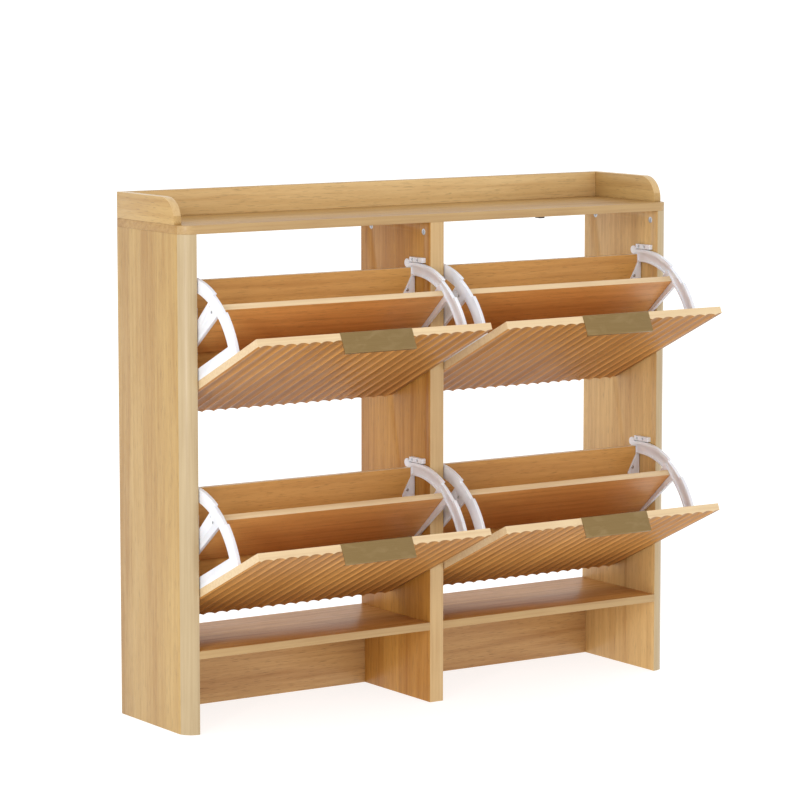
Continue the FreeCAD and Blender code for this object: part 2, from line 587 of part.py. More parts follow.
def make_frame(side, level, end):
    """Make a moulded side frame: a ribbed arc on three spokes, with a hub, a knob and two flanges.

    end is -1 for the frame at the front's left end and +1 for the one at its right end.
    """
    body = new_body(f"{level}_{side}_{'left' if end < 0 else 'right'}_frame")
    whole = slab_x(end, "0", "dims.frame_depth")
    channel_depth = "(dims.frame_depth - dims.frame_web)"
    channel = slab_x(end, "dims.frame_web", channel_depth)
    # the arc: a rim with a gap in it, a web, and a rib along each edge
    disc(body, "Rim", RIM_OUTER, "dims.frame_depth", x=whole, axis="x")
    box(body, "RimGap", "dims.frame_depth", "dims.rim_gap_length", RIM_OUTER, cut=True,
        x=whole, y="dims.rim_gap_start", z="(dims.arc_radius / 2)", lean="dims.mid_lean")
    disc(body, "Band", ARC_OUTER, "dims.frame_depth", x=whole, axis="x")
    disc(body, "Channel", f"({ARC_OUTER} - dims.rib_width)", channel_depth, cut=True, x=channel, axis="x")
    disc(body, "InnerRib", "(dims.arc_radius + dims.rib_width)", "dims.frame_depth", x=whole, axis="x")
    disc(body, "ArcOpening", "dims.arc_radius", "dims.frame_depth", cut=True, x=whole, axis="x")
    disc(body, "Hub", "dims.hub_radius", "dims.frame_depth", x=whole, axis="x")
    reach = f"(2 * {RIM_OUTER})"
    box(body, "FrontTrim", "dims.frame_depth", reach, f"(2 * {reach})", cut=True,
        x=whole, y=f"({FRONT_INNER} - {reach})", z=f"(-{reach})")
    box(body, "BackTrim", "dims.frame_depth", reach, f"(2 * {reach})", cut=True,
        x=whole, y=SPOKE_BACK, z=f"(-{reach})", lean=BACK_LEAN)
    # the spokes and the knob
    bar_head = f"(sqrt({RIM_OUTER} ^ 2 - ({FRONT_INNER}) ^ 2) - dims.hole_play)"
    box(body, "FrontBar", "dims.frame_depth", "dims.bar_width", f"({bar_head} - {BAR_FOOT})",
        x=whole, y=FRONT_INNER, z=BAR_FOOT)
    spoke_foot = "(-dims.hub_radius / 2)"
    box(body, "RearSpoke", "dims.frame_depth", f"({SPOKE_BACK} - dims.back_offset)",
        f"({ARC_OUTER} - dims.rib_width - {spoke_foot})", x=whole, y="dims.back_offset", z=spoke_foot,
        lean=BACK_LEAN)
    mid_spoke_foot = ("(dims.mid_offset - dims.mid_spoke_under_foot)",
                      "(dims.mid_offset + dims.mid_spoke_over_foot)")
    mid_spoke_head = ("(dims.mid_offset - dims.mid_spoke_under_head)",
                      "(dims.mid_offset + dims.mid_spoke_over_head)")
    wedge(body, "MidSpoke", end, "0", "dims.frame_depth", "dims.frame_depth",
          ("dims.mid_spoke_foot", "(dims.arc_radius + dims.rib_width / 2)"),
          mid_spoke_foot, mid_spoke_head, "dims.mid_lean")
    box(body, "KnobArm", "dims.frame_depth", f"({KNOB_Y} - dims.back_offset)", "dims.knob_radius",
        x=whole, y="dims.back_offset", z=f"({KNOB_Z} - dims.knob_radius)", lean=BACK_LEAN)
    disc(body, "Knob", "dims.knob_radius", "dims.frame_depth", x=whole, y=KNOB_Y, z=KNOB_Z,
         lean=BACK_LEAN, axis="x")
    # the flange behind the front, and the gusset that takes the back board
    flange = slab_x(end, "dims.frame_depth", "dims.flange_width")
    root = "(dims.frame_web / 2)"
    box(body, "FrontFlange", "dims.flange_width", "dims.flange_thickness", f"({FLANGE_HEAD} - {BAR_FOOT})",
        x=flange, y=FRONT_INNER, z=BAR_FOOT)
    gusset_across = (GUSSET_FRONT, "dims.back_offset")
    gusset_root = f"(dims.frame_depth - {root})"
    width = f"(dims.flange_width + {root})"
    wedge(body, "GussetFoot", end, gusset_root, width, width, ("dims.gusset_foot", GUSSET_SHOULDER),
          gusset_across, gusset_across, BACK_LEAN)
    wedge(body, "GussetHead", end, gusset_root, width, root, (GUSSET_SHOULDER, GUSSET_HEAD),
          gusset_across, gusset_across, BACK_LEAN)
    box(body, "GussetWeb", "dims.frame_depth", "dims.flange_thickness",
        f"({GUSSET_HEAD} - dims.gusset_foot)", x=whole, y=GUSSET_FRONT, z="dims.gusset_foot", lean=BACK_LEAN)
    drill_frame(body, end, whole)
    seat(body, side, level)


def drill_frame(body, end, whole):
    """Bore a frame's hub and drill it for its screws."""
    disc(body, "Bore", "(dims.pin_radius + dims.pin_play)", "dims.frame_depth", cut=True, x=whole, axis="x")
    recess = "(dims.screw_head_height + dims.hole_play)"
    for number, z in enumerate(MID_END_SCREWS):
        disc(body, f"End{number}", HOLE_RADIUS, "dims.frame_depth", cut=True,
             x=whole, y=MID_CENTRE, z=z, lean="dims.mid_lean", axis="x")
        disc(body, f"EndRecess{number}", "(dims.screw_head_radius + dims.hole_play)", recess, cut=True,
             x=slab_x(end, "0", recess), y=MID_CENTRE, z=z, lean="dims.mid_lean", axis="x")
    disc(body, "PeepHole", HOLE_RADIUS, "dims.frame_depth", cut=True, x=whole,
         y=f"({MID_CENTRE} + dims.peep_hole_rise)", z=MID_END_SCREWS[-1], lean="dims.mid_lean", axis="x")
    for number, z in enumerate(FLANGE_SCREWS):
        disc(body, f"Front{number}", HOLE_RADIUS, "dims.flange_thickness", cut=True,
             x=flange_centre(end), y=f"({FRONT_INNER} + dims.flange_thickness)", z=z, axis="-y")
    for number, z in enumerate(GUSSET_SCREWS):
        disc(body, f"Back{number}", HOLE_RADIUS, "dims.flange_thickness", cut=True,
             x=flange_centre(end), y=GUSSET_FRONT, z=z, lean=BACK_LEAN, axis="y")


def make_compartment_screws(side, level):
    """Make the screws that hold a compartment together, as one group."""
    label = f"{level}_{side}_compartment_screws"
    links = []
    for end in (-1, 1):
        tag = f"{label}_{'l' if end < 0 else 'r'}"
        for number, z in enumerate(FLANGE_SCREWS):
            links.append(screw(f"{tag}_front{number}", flange_centre(end),
                               f"({FRONT_INNER} + dims.flange_thickness)", z, "-y"))
        for number, z in enumerate(GUSSET_SCREWS):
            links.append(screw(f"{tag}_back{number}", flange_centre(end), GUSSET_FRONT, z, "y",
                               lean=BACK_LEAN))
        head_x = f"({end} * ({FRONT_WIDTH} / 2 - dims.screw_head_height))"
        for number, z in enumerate(MID_END_SCREWS):
            links.append(screw(f"{tag}_end{number}", head_x, MID_CENTRE, z, "x", lean="dims.mid_lean",
                               length="dims.end_screw_length", reverse=end > 0))
        links.append(screw(f"{tag}_pull", f"({end} * dims.pull_screw_spread)",
                           f"({FRONT_INNER} + dims.pull_metal)", PULL_SCREW_Z, "-y"))
    seat(group(label, links), side, level)


# --- pins and stops on the uprights -------------------------------------------------------------------

def make_fixed_gear(side, level):
    """Make the pin plates and the stops at both ends of one compartment."""
    faces = ("left_side", "divider_left") if side == "left" else ("divider_right", "right_side")
    for end, face in zip(("left", "right"), faces):
        face_x, inward = WALL_FACES[face]
        into_room = -inward

        def start(depth):
            return face_x if into_room > 0 else f"({face_x} - {depth})"

        plate = new_body(f"{level}_{side}_{end}_pin_plate")
        pin_length = "(dims.front_side_gap + dims.frame_depth - dims.pin_end_play)"
        disc(plate, "Plate", "dims.plate_radius", "dims.plate_thickness",
             x=start("dims.plate_thickness"), y=PIVOT_Y, z=PIVOT_Z[level], axis="x")
        disc(plate, "Pin", "dims.pin_radius", pin_length,
             x=start(pin_length), y=PIVOT_Y, z=PIVOT_Z[level], axis="x")
        stop = new_body(f"{level}_{side}_{end}_stop")
        box(stop, "Block", "dims.stop_depth", "dims.stop_length", "dims.stop_height",
            x=start("dims.stop_depth"), y=f"({PIVOT_Y} + {STOP_FRONT})",
            z=f"({PIVOT_Z[level]} + {STOP_BOTTOM})")
        head_hole = "(dims.screw_head_radius + dims.hole_play)"
        for number, (y, z, kind, screw_level) in enumerate(hardware_places()):
            if screw_level != level:
                continue
            body = plate if kind == "plate" else stop
            thickness = "dims.plate_thickness" if kind == "plate" else "dims.stop_depth"
            disc(body, f"Hole{number}", HOLE_RADIUS, thickness, cut=True,
                 x=start(thickness), y=y, z=z, axis="x")
            recess = "dims.screw_head_height"
            recess_x = f"({face_x} + ({into_room}) * ({thickness} - {recess}))"
            if into_room < 0:
                recess_x = f"({recess_x} - {recess})"
            disc(body, f"Recess{number}", head_hole, recess, cut=True, x=recess_x, y=y, z=z, axis="x")


def make_hardware_screws():
    """Make the screws that hold the pin plates and the stops, as one group."""
    links = []
    for face, (face_x, inward) in WALL_FACES.items():
        into_room = -inward
        for number, (y, z, kind, _level) in enumerate(hardware_places()):
            thickness = "dims.plate_thickness" if kind == "plate" else "dims.stop_depth"
            length = "dims.screw_length" if kind == "plate" else STOP_SCREW_LENGTH
            seat_x = f"({face_x} + ({into_room}) * ({thickness} - dims.screw_head_height))"
            links.append(screw(f"{face}_screw{number}", seat_x, y, z, "x", length=length,
                               reverse=into_room > 0))
    group("hardware_screws", links)


# --- joinery ------------------------------------------------------------------------------------------

def rod(label, radius, length, **where):
    """Make one plain round rod."""
    cylinder = doc.addObject("Part::Cylinder", label)
    bind(cylinder, Radius=radius, Height=length)
    place(cylinder, **where)
    return cylinder


def make_cams():
    """Make the cam discs that lock the top board down, and the bolts that they grip."""
    cams = []
    bolts = []
    for face in CAM_FACES:
        face_x, inward = WALL_FACES[face]
        x = face_x if inward > 0 else f"({face_x} - dims.cam_depth)"
        for number, y in enumerate(CAM_YS):
            solid = rod(f"{face}_cam{number}", "dims.cam_radius", "dims.cam_depth", x=x, y=y, z=CAM_Z, axis="x")
            slot = rod(f"{face}_cam_slot{number}", "(dims.bolt_radius + dims.hole_play)", "dims.cam_radius",
                       x=bolt_x(face_x, inward), y=y, z=CAM_Z)
            cut = doc.addObject("Part::Cut", f"{face}_cam_cut{number}")
            cut.Base = solid
            cut.Tool = slot
            cams.append(cut)
            bolts.append(rod(f"{face}_bolt{number}", "dims.bolt_radius",
                             "(dims.cam_drop - dims.hole_play + dims.bolt_rise)",
                             x=bolt_x(face_x, inward), y=y, z=f"({CAM_Z} + dims.hole_play)"))
    group("cam_locks", cams)
    group("cam_bolts", bolts)


def make_dowels():
    """Make the dowels under the gallery and at the shelves' ends."""
    links = []
    for number, (x, y) in enumerate(rail_dowel_places()):
        links.append(rod(f"rail_dowel{number}", "dims.dowel_radius", "dims.dowel_length",
                         x=x, y=y, z=f"({TOP_Z} - dims.dowel_length / 2)"))
    for face, (face_x, _inward) in WALL_FACES.items():
        for number, y in enumerate(SHELF_DOWEL_YS):
            links.append(rod(f"{face}_dowel{number}", "dims.dowel_radius", "dims.dowel_length",
                             x=f"({face_x} - dims.dowel_length / 2)", y=y, z=SHELF_DOWEL_Z, axis="x"))
    group("dowels", links)


def make_catch():
    """Make the small catch under the top board, over the right column's front."""
    body = new_body("top_catch")
    box(body, "Block", "dims.catch_width", "dims.catch_length", "dims.catch_height",
        x=f"({COLUMN_X} - dims.catch_width / 2)", y=f"({FACE_Y} + dims.catch_setback)",
        z=f"({UNDER_TOP_Z} - dims.catch_height)")


# --- build, check and write ---------------------------------------------------------------------------

make_side("left_side", -1)
make_side("right_side", 1)
make_divider()
make_top()
make_gallery()
for column in ("left", "right"):
    make_base(column)
for row in ("upper", "lower"):
    for column in ("left", "right"):
        make_front(column, row)
        make_pull(column, row)
        make_boards(column, row)
        make_frame(column, row, -1)
        make_frame(column, row, 1)
        make_compartment_screws(column, row)
        make_fixed_gear(column, row)
make_hardware_screws()
make_cams()
make_dowels()
make_catch()
doc.recompute()

for item in doc.Objects:
    if "Invalid" in item.State or "Error" in item.State:
        raise RuntimeError("failed feature: " + item.Label)
for node in nodes:
    if node.Shape.isNull() or not node.Shape.isValid():
        raise RuntimeError("bad shape: " + node.Label)

os.makedirs("parts", exist_ok=True)
for node in nodes:
    node.Shape.exportStep("parts/%s.step" % node.Label)
    print("%-36s %12.1f mm3  %d solid(s)" % (node.Label, node.Shape.Volume, len(node.Shape.Solids)))
print(len(nodes), "nodes")
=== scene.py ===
"""A shoe cabinet with four tip-out compartments, dressed in oak, bronze and white mouldings."""

import json
import logging
import math
from dataclasses import dataclass, field
from enum import Enum
from typing import Callable, Iterable, Sequence

import bmesh
import bpy
import numpy as np
from mathutils import Matrix, Vector


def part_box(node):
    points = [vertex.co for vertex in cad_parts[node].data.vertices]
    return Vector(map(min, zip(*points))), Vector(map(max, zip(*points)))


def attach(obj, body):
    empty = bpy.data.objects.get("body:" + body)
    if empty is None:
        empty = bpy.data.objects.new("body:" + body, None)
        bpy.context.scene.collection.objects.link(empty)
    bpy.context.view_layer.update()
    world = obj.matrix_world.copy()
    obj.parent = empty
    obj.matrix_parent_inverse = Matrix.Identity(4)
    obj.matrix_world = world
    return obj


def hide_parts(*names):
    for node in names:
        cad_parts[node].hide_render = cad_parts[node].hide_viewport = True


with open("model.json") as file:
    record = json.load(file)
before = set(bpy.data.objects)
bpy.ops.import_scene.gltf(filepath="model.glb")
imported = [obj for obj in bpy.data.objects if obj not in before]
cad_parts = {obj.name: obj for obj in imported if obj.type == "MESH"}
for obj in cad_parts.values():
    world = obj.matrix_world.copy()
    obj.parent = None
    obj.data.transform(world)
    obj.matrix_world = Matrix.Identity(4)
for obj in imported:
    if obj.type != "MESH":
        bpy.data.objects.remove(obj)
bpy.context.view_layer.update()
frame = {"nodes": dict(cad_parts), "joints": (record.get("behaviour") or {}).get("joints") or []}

LOG = logging.getLogger("shoe_cabinet")
MM = 0.001
CARCASS = "cabinet"

# how near a point counts as on a face, and how nearly a face or line looks along an axis
ON_FACE = 0.2 * MM
ALONG_AXIS = 0.9
LEANS_TO_AXIS = 0.3

Point = tuple[float, float, float]
Tone = tuple[int, int, int]
Test = Callable[[Vector, Vector], bool]


def linear(red: int, green: int, blue: int) -> tuple[float, float, float, float]:
    """Turn a paint-chart colour into the shader's linear one.

    Args:
        red: Red from 0 to 255.
        green: Green from 0 to 255.
        blue: Blue from 0 to 255.

    Returns:
        The linear colour with full alpha.
    """
    parts = []
    for value in (red, green, blue):
        share = value / 255.0
        parts.append(share / 12.92 if share <= 0.04045 else ((share + 0.055) / 1.055) ** 2.4)
    return (parts[0], parts[1], parts[2], 1.0)


class Face(Enum):
    """A side of a board, as the axis it faces along and which way."""

    LEFT = (0, -1)
    RIGHT = (0, 1)
    FRONT = (1, -1)
    BACK = (1, 1)
    BOTTOM = (2, -1)
    TOP = (2, 1)

    @property
    def axis(self) -> int:
        """Give the axis the face looks along."""
        return self.value[0]

    @property
    def sign(self) -> int:
        """Give the way the face looks along its axis."""
        return self.value[1]


class Grain(Enum):
    """The way the wood's fibres run, as an axis."""

    ALONG_X = 0
    ALONG_Y = 1
    ALONG_Z = 2


class Hand(Enum):
    """The left or right one of a pair."""

    LEFT = "left"
    RIGHT = "right"


class Row(Enum):
    """The upper or lower row of compartments."""

    UPPER = "upper"
    LOWER = "lower"


# ---------------------------------------------------------------------------
# Finishes


class Graph:
    """A material's nodes while they are being joined up."""

    def __init__(self, name: str) -> None:
        """Start a material with only a shader and its output.

        Args:
            name: The material's name.
        """
        self.material = bpy.data.materials.new(name)
        self.material.use_nodes = True
        self.tree = self.material.node_tree
        self.tree.nodes.clear()
        output = self.tree.nodes.new("ShaderNodeOutputMaterial")
        self.shader = self.tree.nodes.new("ShaderNodeBsdfPrincipled")
        self.tree.links.new(self.shader.outputs["BSDF"], output.inputs["Surface"])

    def add(self, kind: str, inputs: dict | None = None, **settings: object) -> bpy.types.Node:
        """Add a node and feed it.

        Args:
            kind: The node's type name.
            inputs: Values or sockets, by the input's name or number.
            settings: The node's own settings.

        Returns:
            The new node.
        """
        node = self.tree.nodes.new(kind)
        for name, value in settings.items():
            setattr(node, name, value)
        for name, value in (inputs or {}).items():
            self.feed(node.inputs[name], value)
        return node

    def feed(self, socket: bpy.types.NodeSocket, value: object) -> None:
        """Give an input a socket to follow, or a fixed value.

        Args:
            socket: The input.
            value: An output socket, or a number, colour or vector.
        """
        if isinstance(value, bpy.types.NodeSocket):
            self.tree.links.new(value, socket)
        else:
            socket.default_value = value

    def place(self, lean: float, shift: Point) -> bpy.types.NodeSocket:
        """Give the piece's own coordinates, turned upright and moved.

        Args:
            lean: The piece's lean about X, in degrees.
            shift: A move that makes each finish's figure its own, in metres.

        Returns:
            The coordinates.
        """
        where = self.add("ShaderNodeTexCoord").outputs["Object"]
        turned = self.add(
            "ShaderNodeMapping",
            {"Vector": where, "Location": shift, "Rotation": (-math.radians(lean), 0.0, 0.0)},
        )
        return turned.outputs["Vector"]

    def stretch(self, where: bpy.types.NodeSocket, scale: Point) -> bpy.types.NodeSocket:
        """Give coordinates scaled along each axis."""
        return self.add("ShaderNodeMapping", {"Vector": where, "Scale": scale}).outputs["Vector"]

    def noise(self, where: bpy.types.NodeSocket, scale: float, detail: float = 3.0,
              distortion: float = 0.0) -> bpy.types.NodeSocket:
        """Give a cloudy value from 0 to 1.

        Args:
            where: The coordinates.
            scale: How fine it is.
            detail: How many finer layers it has.
            distortion: How far it swirls.

        Returns:
            The value.
        """
        node = self.add("ShaderNodeTexNoise", {"Vector": where, "Scale": scale, "Detail": detail,
                                               "Distortion": distortion})
        return node.outputs["Fac"]

    def span(self, value: bpy.types.NodeSocket, low: float, high: float, to_low: float = 0.0,
             to_high: float = 1.0) -> bpy.types.NodeSocket:
        """Spread part of a value's range over a new range.

        Args:
            value: The value.
            low: Where the used part starts.
            high: Where it ends.
            to_low: What the start becomes.
            to_high: What the end becomes.

        Returns:
            The new value, held between the two.
        """
        node = self.add("ShaderNodeMapRange", {"Value": value, "From Min": low, "From Max": high,
                                               "To Min": to_low, "To Max": to_high})
        return node.outputs["Result"]

    def mix(self, share: object, first: object, second: object) -> bpy.types.NodeSocket:
        """Mix two colours.

        Args:
            share: How much of the second there is.
            first: A colour or socket.
            second: A colour or socket.

        Returns:
            The mixed colour.
        """
        node = self.add("ShaderNodeMix", data_type="RGBA")
        self.feed(node.inputs["Factor"], share)
        self.feed(node.inputs[6], first)
        self.feed(node.inputs[7], second)
        return node.outputs[2]

    def sum(self, first: object, second: object, operation: str = "ADD") -> bpy.types.NodeSocket:
        """Join two values by a sum or another operation."""
        return self.add("ShaderNodeMath", {0: first, 1: second}, operation=operation).outputs[0]

    def finish(self, colour: object, roughness: object, height: object, depth: float,
               **fixed: float) -> bpy.types.Material:
        """Feed the shader and give the material.

        Args:
            colour: The surface's colour.
            roughness: Its roughness.
            height: The relief that the light catches.
            depth: How deep the relief is, in metres.
            fixed: Other shader inputs that are the same all over, by name.

        Returns:
            The finished material.
        """
        relief = self.add("ShaderNodeBump", {"Height": height, "Distance": depth, "Strength": 0.6})
        self.feed(self.shader.inputs["Base Color"], colour)
        self.feed(self.shader.inputs["Roughness"], roughness)
        self.feed(self.shader.inputs["Normal"], relief.outputs["Normal"])
        for name, value in fixed.items():
            self.feed(self.shader.inputs[name.replace("_", " ")], value)
        return self.material


@dataclass(frozen=True)
class Figure:
    """A pattern drawn out along the grain, in waves per metre along it and across it."""

    along: float
    across: float
    detail: float = 3.0
    swirl: float = 0.0

    def spread(self, graph: Graph, where: bpy.types.NodeSocket, grain: Grain) -> bpy.types.NodeSocket:
        """Give coordinates scaled for the pattern.

        Args:
            graph: The material being made.
            where: The piece's coordinates.
            grain: The way the fibres run.

        Returns:
            The scaled coordinates.
        """
        scales = [self.across, self.across, self.across]
        scales[grain.value] = self.along
        return graph.stretch(where, (scales[0], scales[1], scales[2]))

    def draw(self, graph: Graph, where: bpy.types.NodeSocket, grain: Grain) -> bpy.types.NodeSocket:
        """Give the pattern's value from 0 to 1."""
        return graph.noise(self.spread(graph, where, grain), 1.0, self.detail, self.swirl)


BROAD_TONES = Figure(1.6, 13.0, 2.0, 0.4)
STREAKS = Figure(5.0, 130.0, 4.0, 0.3)
FIBRES = Figure(22.0, 620.0)
GROWTH_RINGS = Figure(1.1, 16.0)
PORES = Figure(40.0, 900.0, 1.0)
BAND_LINES = Figure(5.0, 210.0, 3.0, 0.2)
HAIRLINES = Figure(14.0, 2600.0, 2.0)
WEAR_PATCHES = Figure(30.0, 60.0, 4.0, 0.5)


@dataclass(frozen=True)
class Veneer:
    """Oak veneer, with fibres, wider tone changes, arched figure, pores, a satin lacquer, and painted
    shade in the flute hollows where asked.
    """

    name: str
    pale: Tone
    deep: Tone
    grain: Grain = Grain.ALONG_X
    lean: float = 0.0
    leaf: float = 0.0
    leaf_axis: int = 1
    contrast: float = 1.0
    gloss: float = 0.5
    painted_cove_shade: float = 0.0
    shift: Point = (0.0, 0.0, 0.0)
    broad_share: float = 0.45
    streak_share: float = 0.34
    ring_share: float = 0.20
    fibre_share: float = 0.16
    pore_share: float = 0.38
    # how dark the pores are, which is real, and the painted shade in the flute hollows, as a share of the
    # deep tone
    pore_and_shade_dim: float = 0.62
    relief: float = 0.18 * MM

    def build(self) -> bpy.types.Material:
        """Make the veneer's material.

        Returns:
            The material.
        """
        graph = Graph(self.name)
        where = graph.place(self.lean, self.shift)
        broad, streak, fibre = (figure.draw(graph, where, self.grain)
                                for figure in (BROAD_TONES, STREAKS, FIBRES))
        rings = graph.add(
            "ShaderNodeTexWave",
            {"Vector": GROWTH_RINGS.spread(graph, where, self.grain), "Scale": 1.0,
             "Distortion": 7.5, "Detail": 2.0, "Detail Scale": 1.3, "Detail Roughness": 0.55},
            wave_type="RINGS", rings_direction="SPHERICAL",
        ).outputs["Fac"]
        pore = graph.span(PORES.draw(graph, where, self.grain), 0.62, 0.70)
        tone = graph.span(broad, 0.3, 0.7, 0.0, self.broad_share * self.contrast)
        for value, low, high, share in ((streak, 0.38, 0.72, self.streak_share),
                                        (rings, 0.55, 1.0, self.ring_share),
                                        (fibre, 0.35, 0.75, self.fibre_share)):
            tone = graph.sum(tone, graph.span(value, low, high, 0.0, share * self.contrast))
        if self.leaf > 0:
            tone = graph.sum(tone, self.leaves(graph, where))
        colour = graph.mix(tone, linear(*self.pale), linear(*self.deep))
        dark = linear(*(int(part * self.pore_and_shade_dim) for part in self.deep))
        colour = graph.mix(graph.span(pore, 0.0, 1.0, 0.0, self.pore_share * self.contrast), colour, dark)
        # Painted shade: the flute hollows are darkened by their depth, in place of the shade that falls in
        # them.
        if self.painted_cove_shade > 0:
            depth = graph.add("ShaderNodeAttribute", attribute_name="hollow").outputs["Fac"]
            colour = graph.mix(graph.span(depth, 0.15, 1.0, 0.0, self.painted_cove_shade), colour, dark)
        rough = graph.span(graph.sum(streak, fibre), 0.7, 1.3, 0.34, 0.48)
        height = graph.sum(graph.sum(fibre, 0.55, "MULTIPLY"), graph.sum(pore, -0.8, "MULTIPLY"))
        height = graph.sum(height, graph.sum(streak, 0.5, "MULTIPLY"))
        return graph.finish(colour, rough, height, self.relief, Coat_Weight=0.1,
                            Coat_Roughness=0.28, Specular_IOR_Level=self.gloss)

    def leaves(self, graph: Graph, where: bpy.types.NodeSocket) -> bpy.types.NodeSocket:
        """Give the tone step from one veneer leaf to the next.

        Args:
            graph: The material being made.
            where: The piece's coordinates.

        Returns:
            The change of tone.
        """
        parts = graph.add("ShaderNodeSeparateXYZ", {0: where}).outputs[self.leaf_axis]
        number = graph.sum(graph.sum(parts, self.leaf, "DIVIDE"), 0.37)
        count = graph.add("ShaderNodeMath", {0: number}, operation="FLOOR").outputs[0]
        chance = graph.add("ShaderNodeTexWhiteNoise", {"W": count}, noise_dimensions="1D").outputs["Value"]
        return graph.span(chance, 0.0, 1.0, -0.16, 0.20)


@dataclass(frozen=True)
class EdgeBand:
    """A pale printed band on a board's edge, with faint lines along it."""

    name: str
    colour: Tone
    line: Tone
    grain: Grain = Grain.ALONG_X
    lean: float = 0.0

    def build(self) -> bpy.types.Material:
        """Make the band's material.

        Returns:
            The material.
        """
        graph = Graph(self.name)
        where = graph.place(self.lean, (0.3, 0.1, 0.2))
        lines = BAND_LINES.draw(graph, where, self.grain)
        cloud = graph.noise(where, 9.0, 2.0)
        share = graph.sum(graph.span(lines, 0.4, 0.7, 0.0, 0.6), graph.span(cloud, 0.4, 0.7, 0.0, 0.3))
        colour = graph.mix(share, linear(*self.colour), linear(*self.line))
        rough = graph.span(lines, 0.3, 0.7, 0.30, 0.40)
        return graph.finish(colour, rough, lines, 0.00008)


@dataclass(frozen=True)
class MouldedPlastic:
    """Moulded plastic with a fine eggshell skin and a slight unevenness of tone."""

    name: str
    colour: Tone
    shade: Tone
    roughness: tuple[float, float] = (0.34, 0.46)

    def build(self) -> bpy.types.Material:
        """Make the plastic's material.

        Returns:
            The material.
        """
        graph = Graph(self.name)
        where = graph.place(0.0, (0.0, 0.0, 0.0))
        skin = graph.noise(where, 1400.0, 2.0)
        flow = graph.noise(where, 22.0, 2.0, 0.6)
        colour = graph.mix(graph.span(flow, 0.35, 0.7), linear(*self.colour), linear(*self.shade))
        rough = graph.span(graph.sum(flow, skin), 0.7, 1.3, *self.roughness)
        return graph.finish(colour, rough, skin, 0.00004, Subsurface_Weight=0.03,
                            Subsurface_Scale=0.002)


@dataclass(frozen=True)
class BrushedMetal:
    """Metal with hair-fine brushing along X and small patches of wear."""

    name: str
    colour: Tone
    worn: Tone
    roughness: tuple[float, float]
    lean: float = 0.0

    def build(self) -> bpy.types.Material:
        """Make the metal's material.

        Returns:
            The material.
        """
        graph = Graph(self.name)
        where = graph.place(self.lean, (0.0, 0.0, 0.0))
        hairs = HAIRLINES.draw(graph, where, Grain.ALONG_X)
        wear = WEAR_PATCHES.draw(graph, where, Grain.ALONG_X)
        share = graph.sum(graph.span(wear, 0.5, 0.75, 0.0, 0.5), graph.span(hairs, 0.4, 0.7, 0.0, 0.3))
        colour = graph.mix(share, linear(*self.colour), linear(*self.worn))
        rough = graph.span(graph.sum(hairs, wear), 0.7, 1.3, *self.roughness)
        return graph.finish(colour, rough, hairs, 0.00003, Metallic=1.0)


Finish = Veneer | EdgeBand | MouldedPlastic | BrushedMetal

OPEN_LEAN = 65.0
MID_LEAN = 49.0

SIDE_OAK = Veneer("side_oak", (194, 160, 100), (166, 126, 70), Grain.ALONG_Z, gloss=0.35, leaf=0.046)
RIGHT_SIDE_OAK = Veneer("right_side_oak", (222, 186, 124), (188, 146, 88), Grain.ALONG_Z, gloss=0.3,
                        leaf=0.05, shift=(0.2, 0.31, 0.5))
DIVIDER_OAK = Veneer("divider_oak", (202, 150, 74), (162, 106, 40), Grain.ALONG_Z, leaf=0.052,
                     gloss=0.2, shift=(0.4, 0.2, 0.7))
TOP_OAK = Veneer("top_oak", (184, 147, 88), (152, 109, 54), Grain.ALONG_X, gloss=0.3,
                 shift=(0.2, 0.5, 0.1))
RAIL_OAK = Veneer("gallery_oak", (228, 196, 140), (200, 160, 102), Grain.ALONG_X, gloss=0.3,
                  shift=(0.2, 0.5, 0.1))
END_OAK = Veneer("gallery_end_oak", (198, 164, 106), (168, 128, 72), Grain.ALONG_Y, gloss=0.35,
                 shift=(0.1, 0.3, 0.4))
SHELF_OAK = Veneer("shelf_oak", (206, 154, 86), (168, 114, 56), Grain.ALONG_X, gloss=0.12,
                   shift=(0.9, 0.4, 0.6))
PLINTH_OAK = Veneer("plinth_oak", (204, 165, 110), (165, 120, 72), Grain.ALONG_X, contrast=1.15,
                    gloss=0.3, shift=(0.5, 0.8, 0.3))
# This oak takes painted shade in its flute hollows.
FLUTED_OAK = Veneer("fluted_oak", (216, 158, 88), (170, 114, 56), Grain.ALONG_Z, lean=OPEN_LEAN,
                    gloss=0.12, painted_cove_shade=0.5, shift=(0.7, 0.1, 0.9))
POCKET_OAK = Veneer("pocket_oak", (228, 174, 106), (198, 140, 80), Grain.ALONG_X, lean=OPEN_LEAN,
                    gloss=0.3, shift=(0.3, 0.6, 0.2))
# Painted light: the mid and back boards get a paler oak than the rest, to lift the shade inside the
# compartments.
MID_OAK_PAINTED_LIGHT = Veneer("mid_board_oak", (230, 172, 102), (198, 138, 74), Grain.ALONG_X, lean=MID_LEAN,
                 gloss=0.3, shift=(0.6, 0.2, 0.8))
BACK_OAK_PAINTED_LIGHT = Veneer("back_board_oak", (216, 164, 92), (186, 132, 68), Grain.ALONG_X, gloss=0.2,
                  shift=(0.8, 0.9, 0.5))
BAND_X = EdgeBand("edge_band", (222, 196, 154), (204, 172, 130), Grain.ALONG_X)
CASE_BAND_X = EdgeBand("case_edge_band", (184, 152, 102), (166, 130, 82), Grain.ALONG_X)
BAND_Y = EdgeBand("edge_band_across", (206, 174, 122), (190, 154, 102), Grain.ALONG_Y)
SIDE_BAND = EdgeBand("side_edge_band", (188, 166, 128), (172, 148, 110), Grain.ALONG_Z)
BAND_Z = EdgeBand("edge_band_upright", (200, 168, 118), (184, 148, 98), Grain.ALONG_Z)
WHITE_PLASTIC = MouldedPlastic("white_moulding", (234, 235, 240), (222, 224, 231))
DARK_PLASTIC = MouldedPlastic("catch_plastic", (72, 60, 50), (56, 48, 40), (0.4, 0.55))
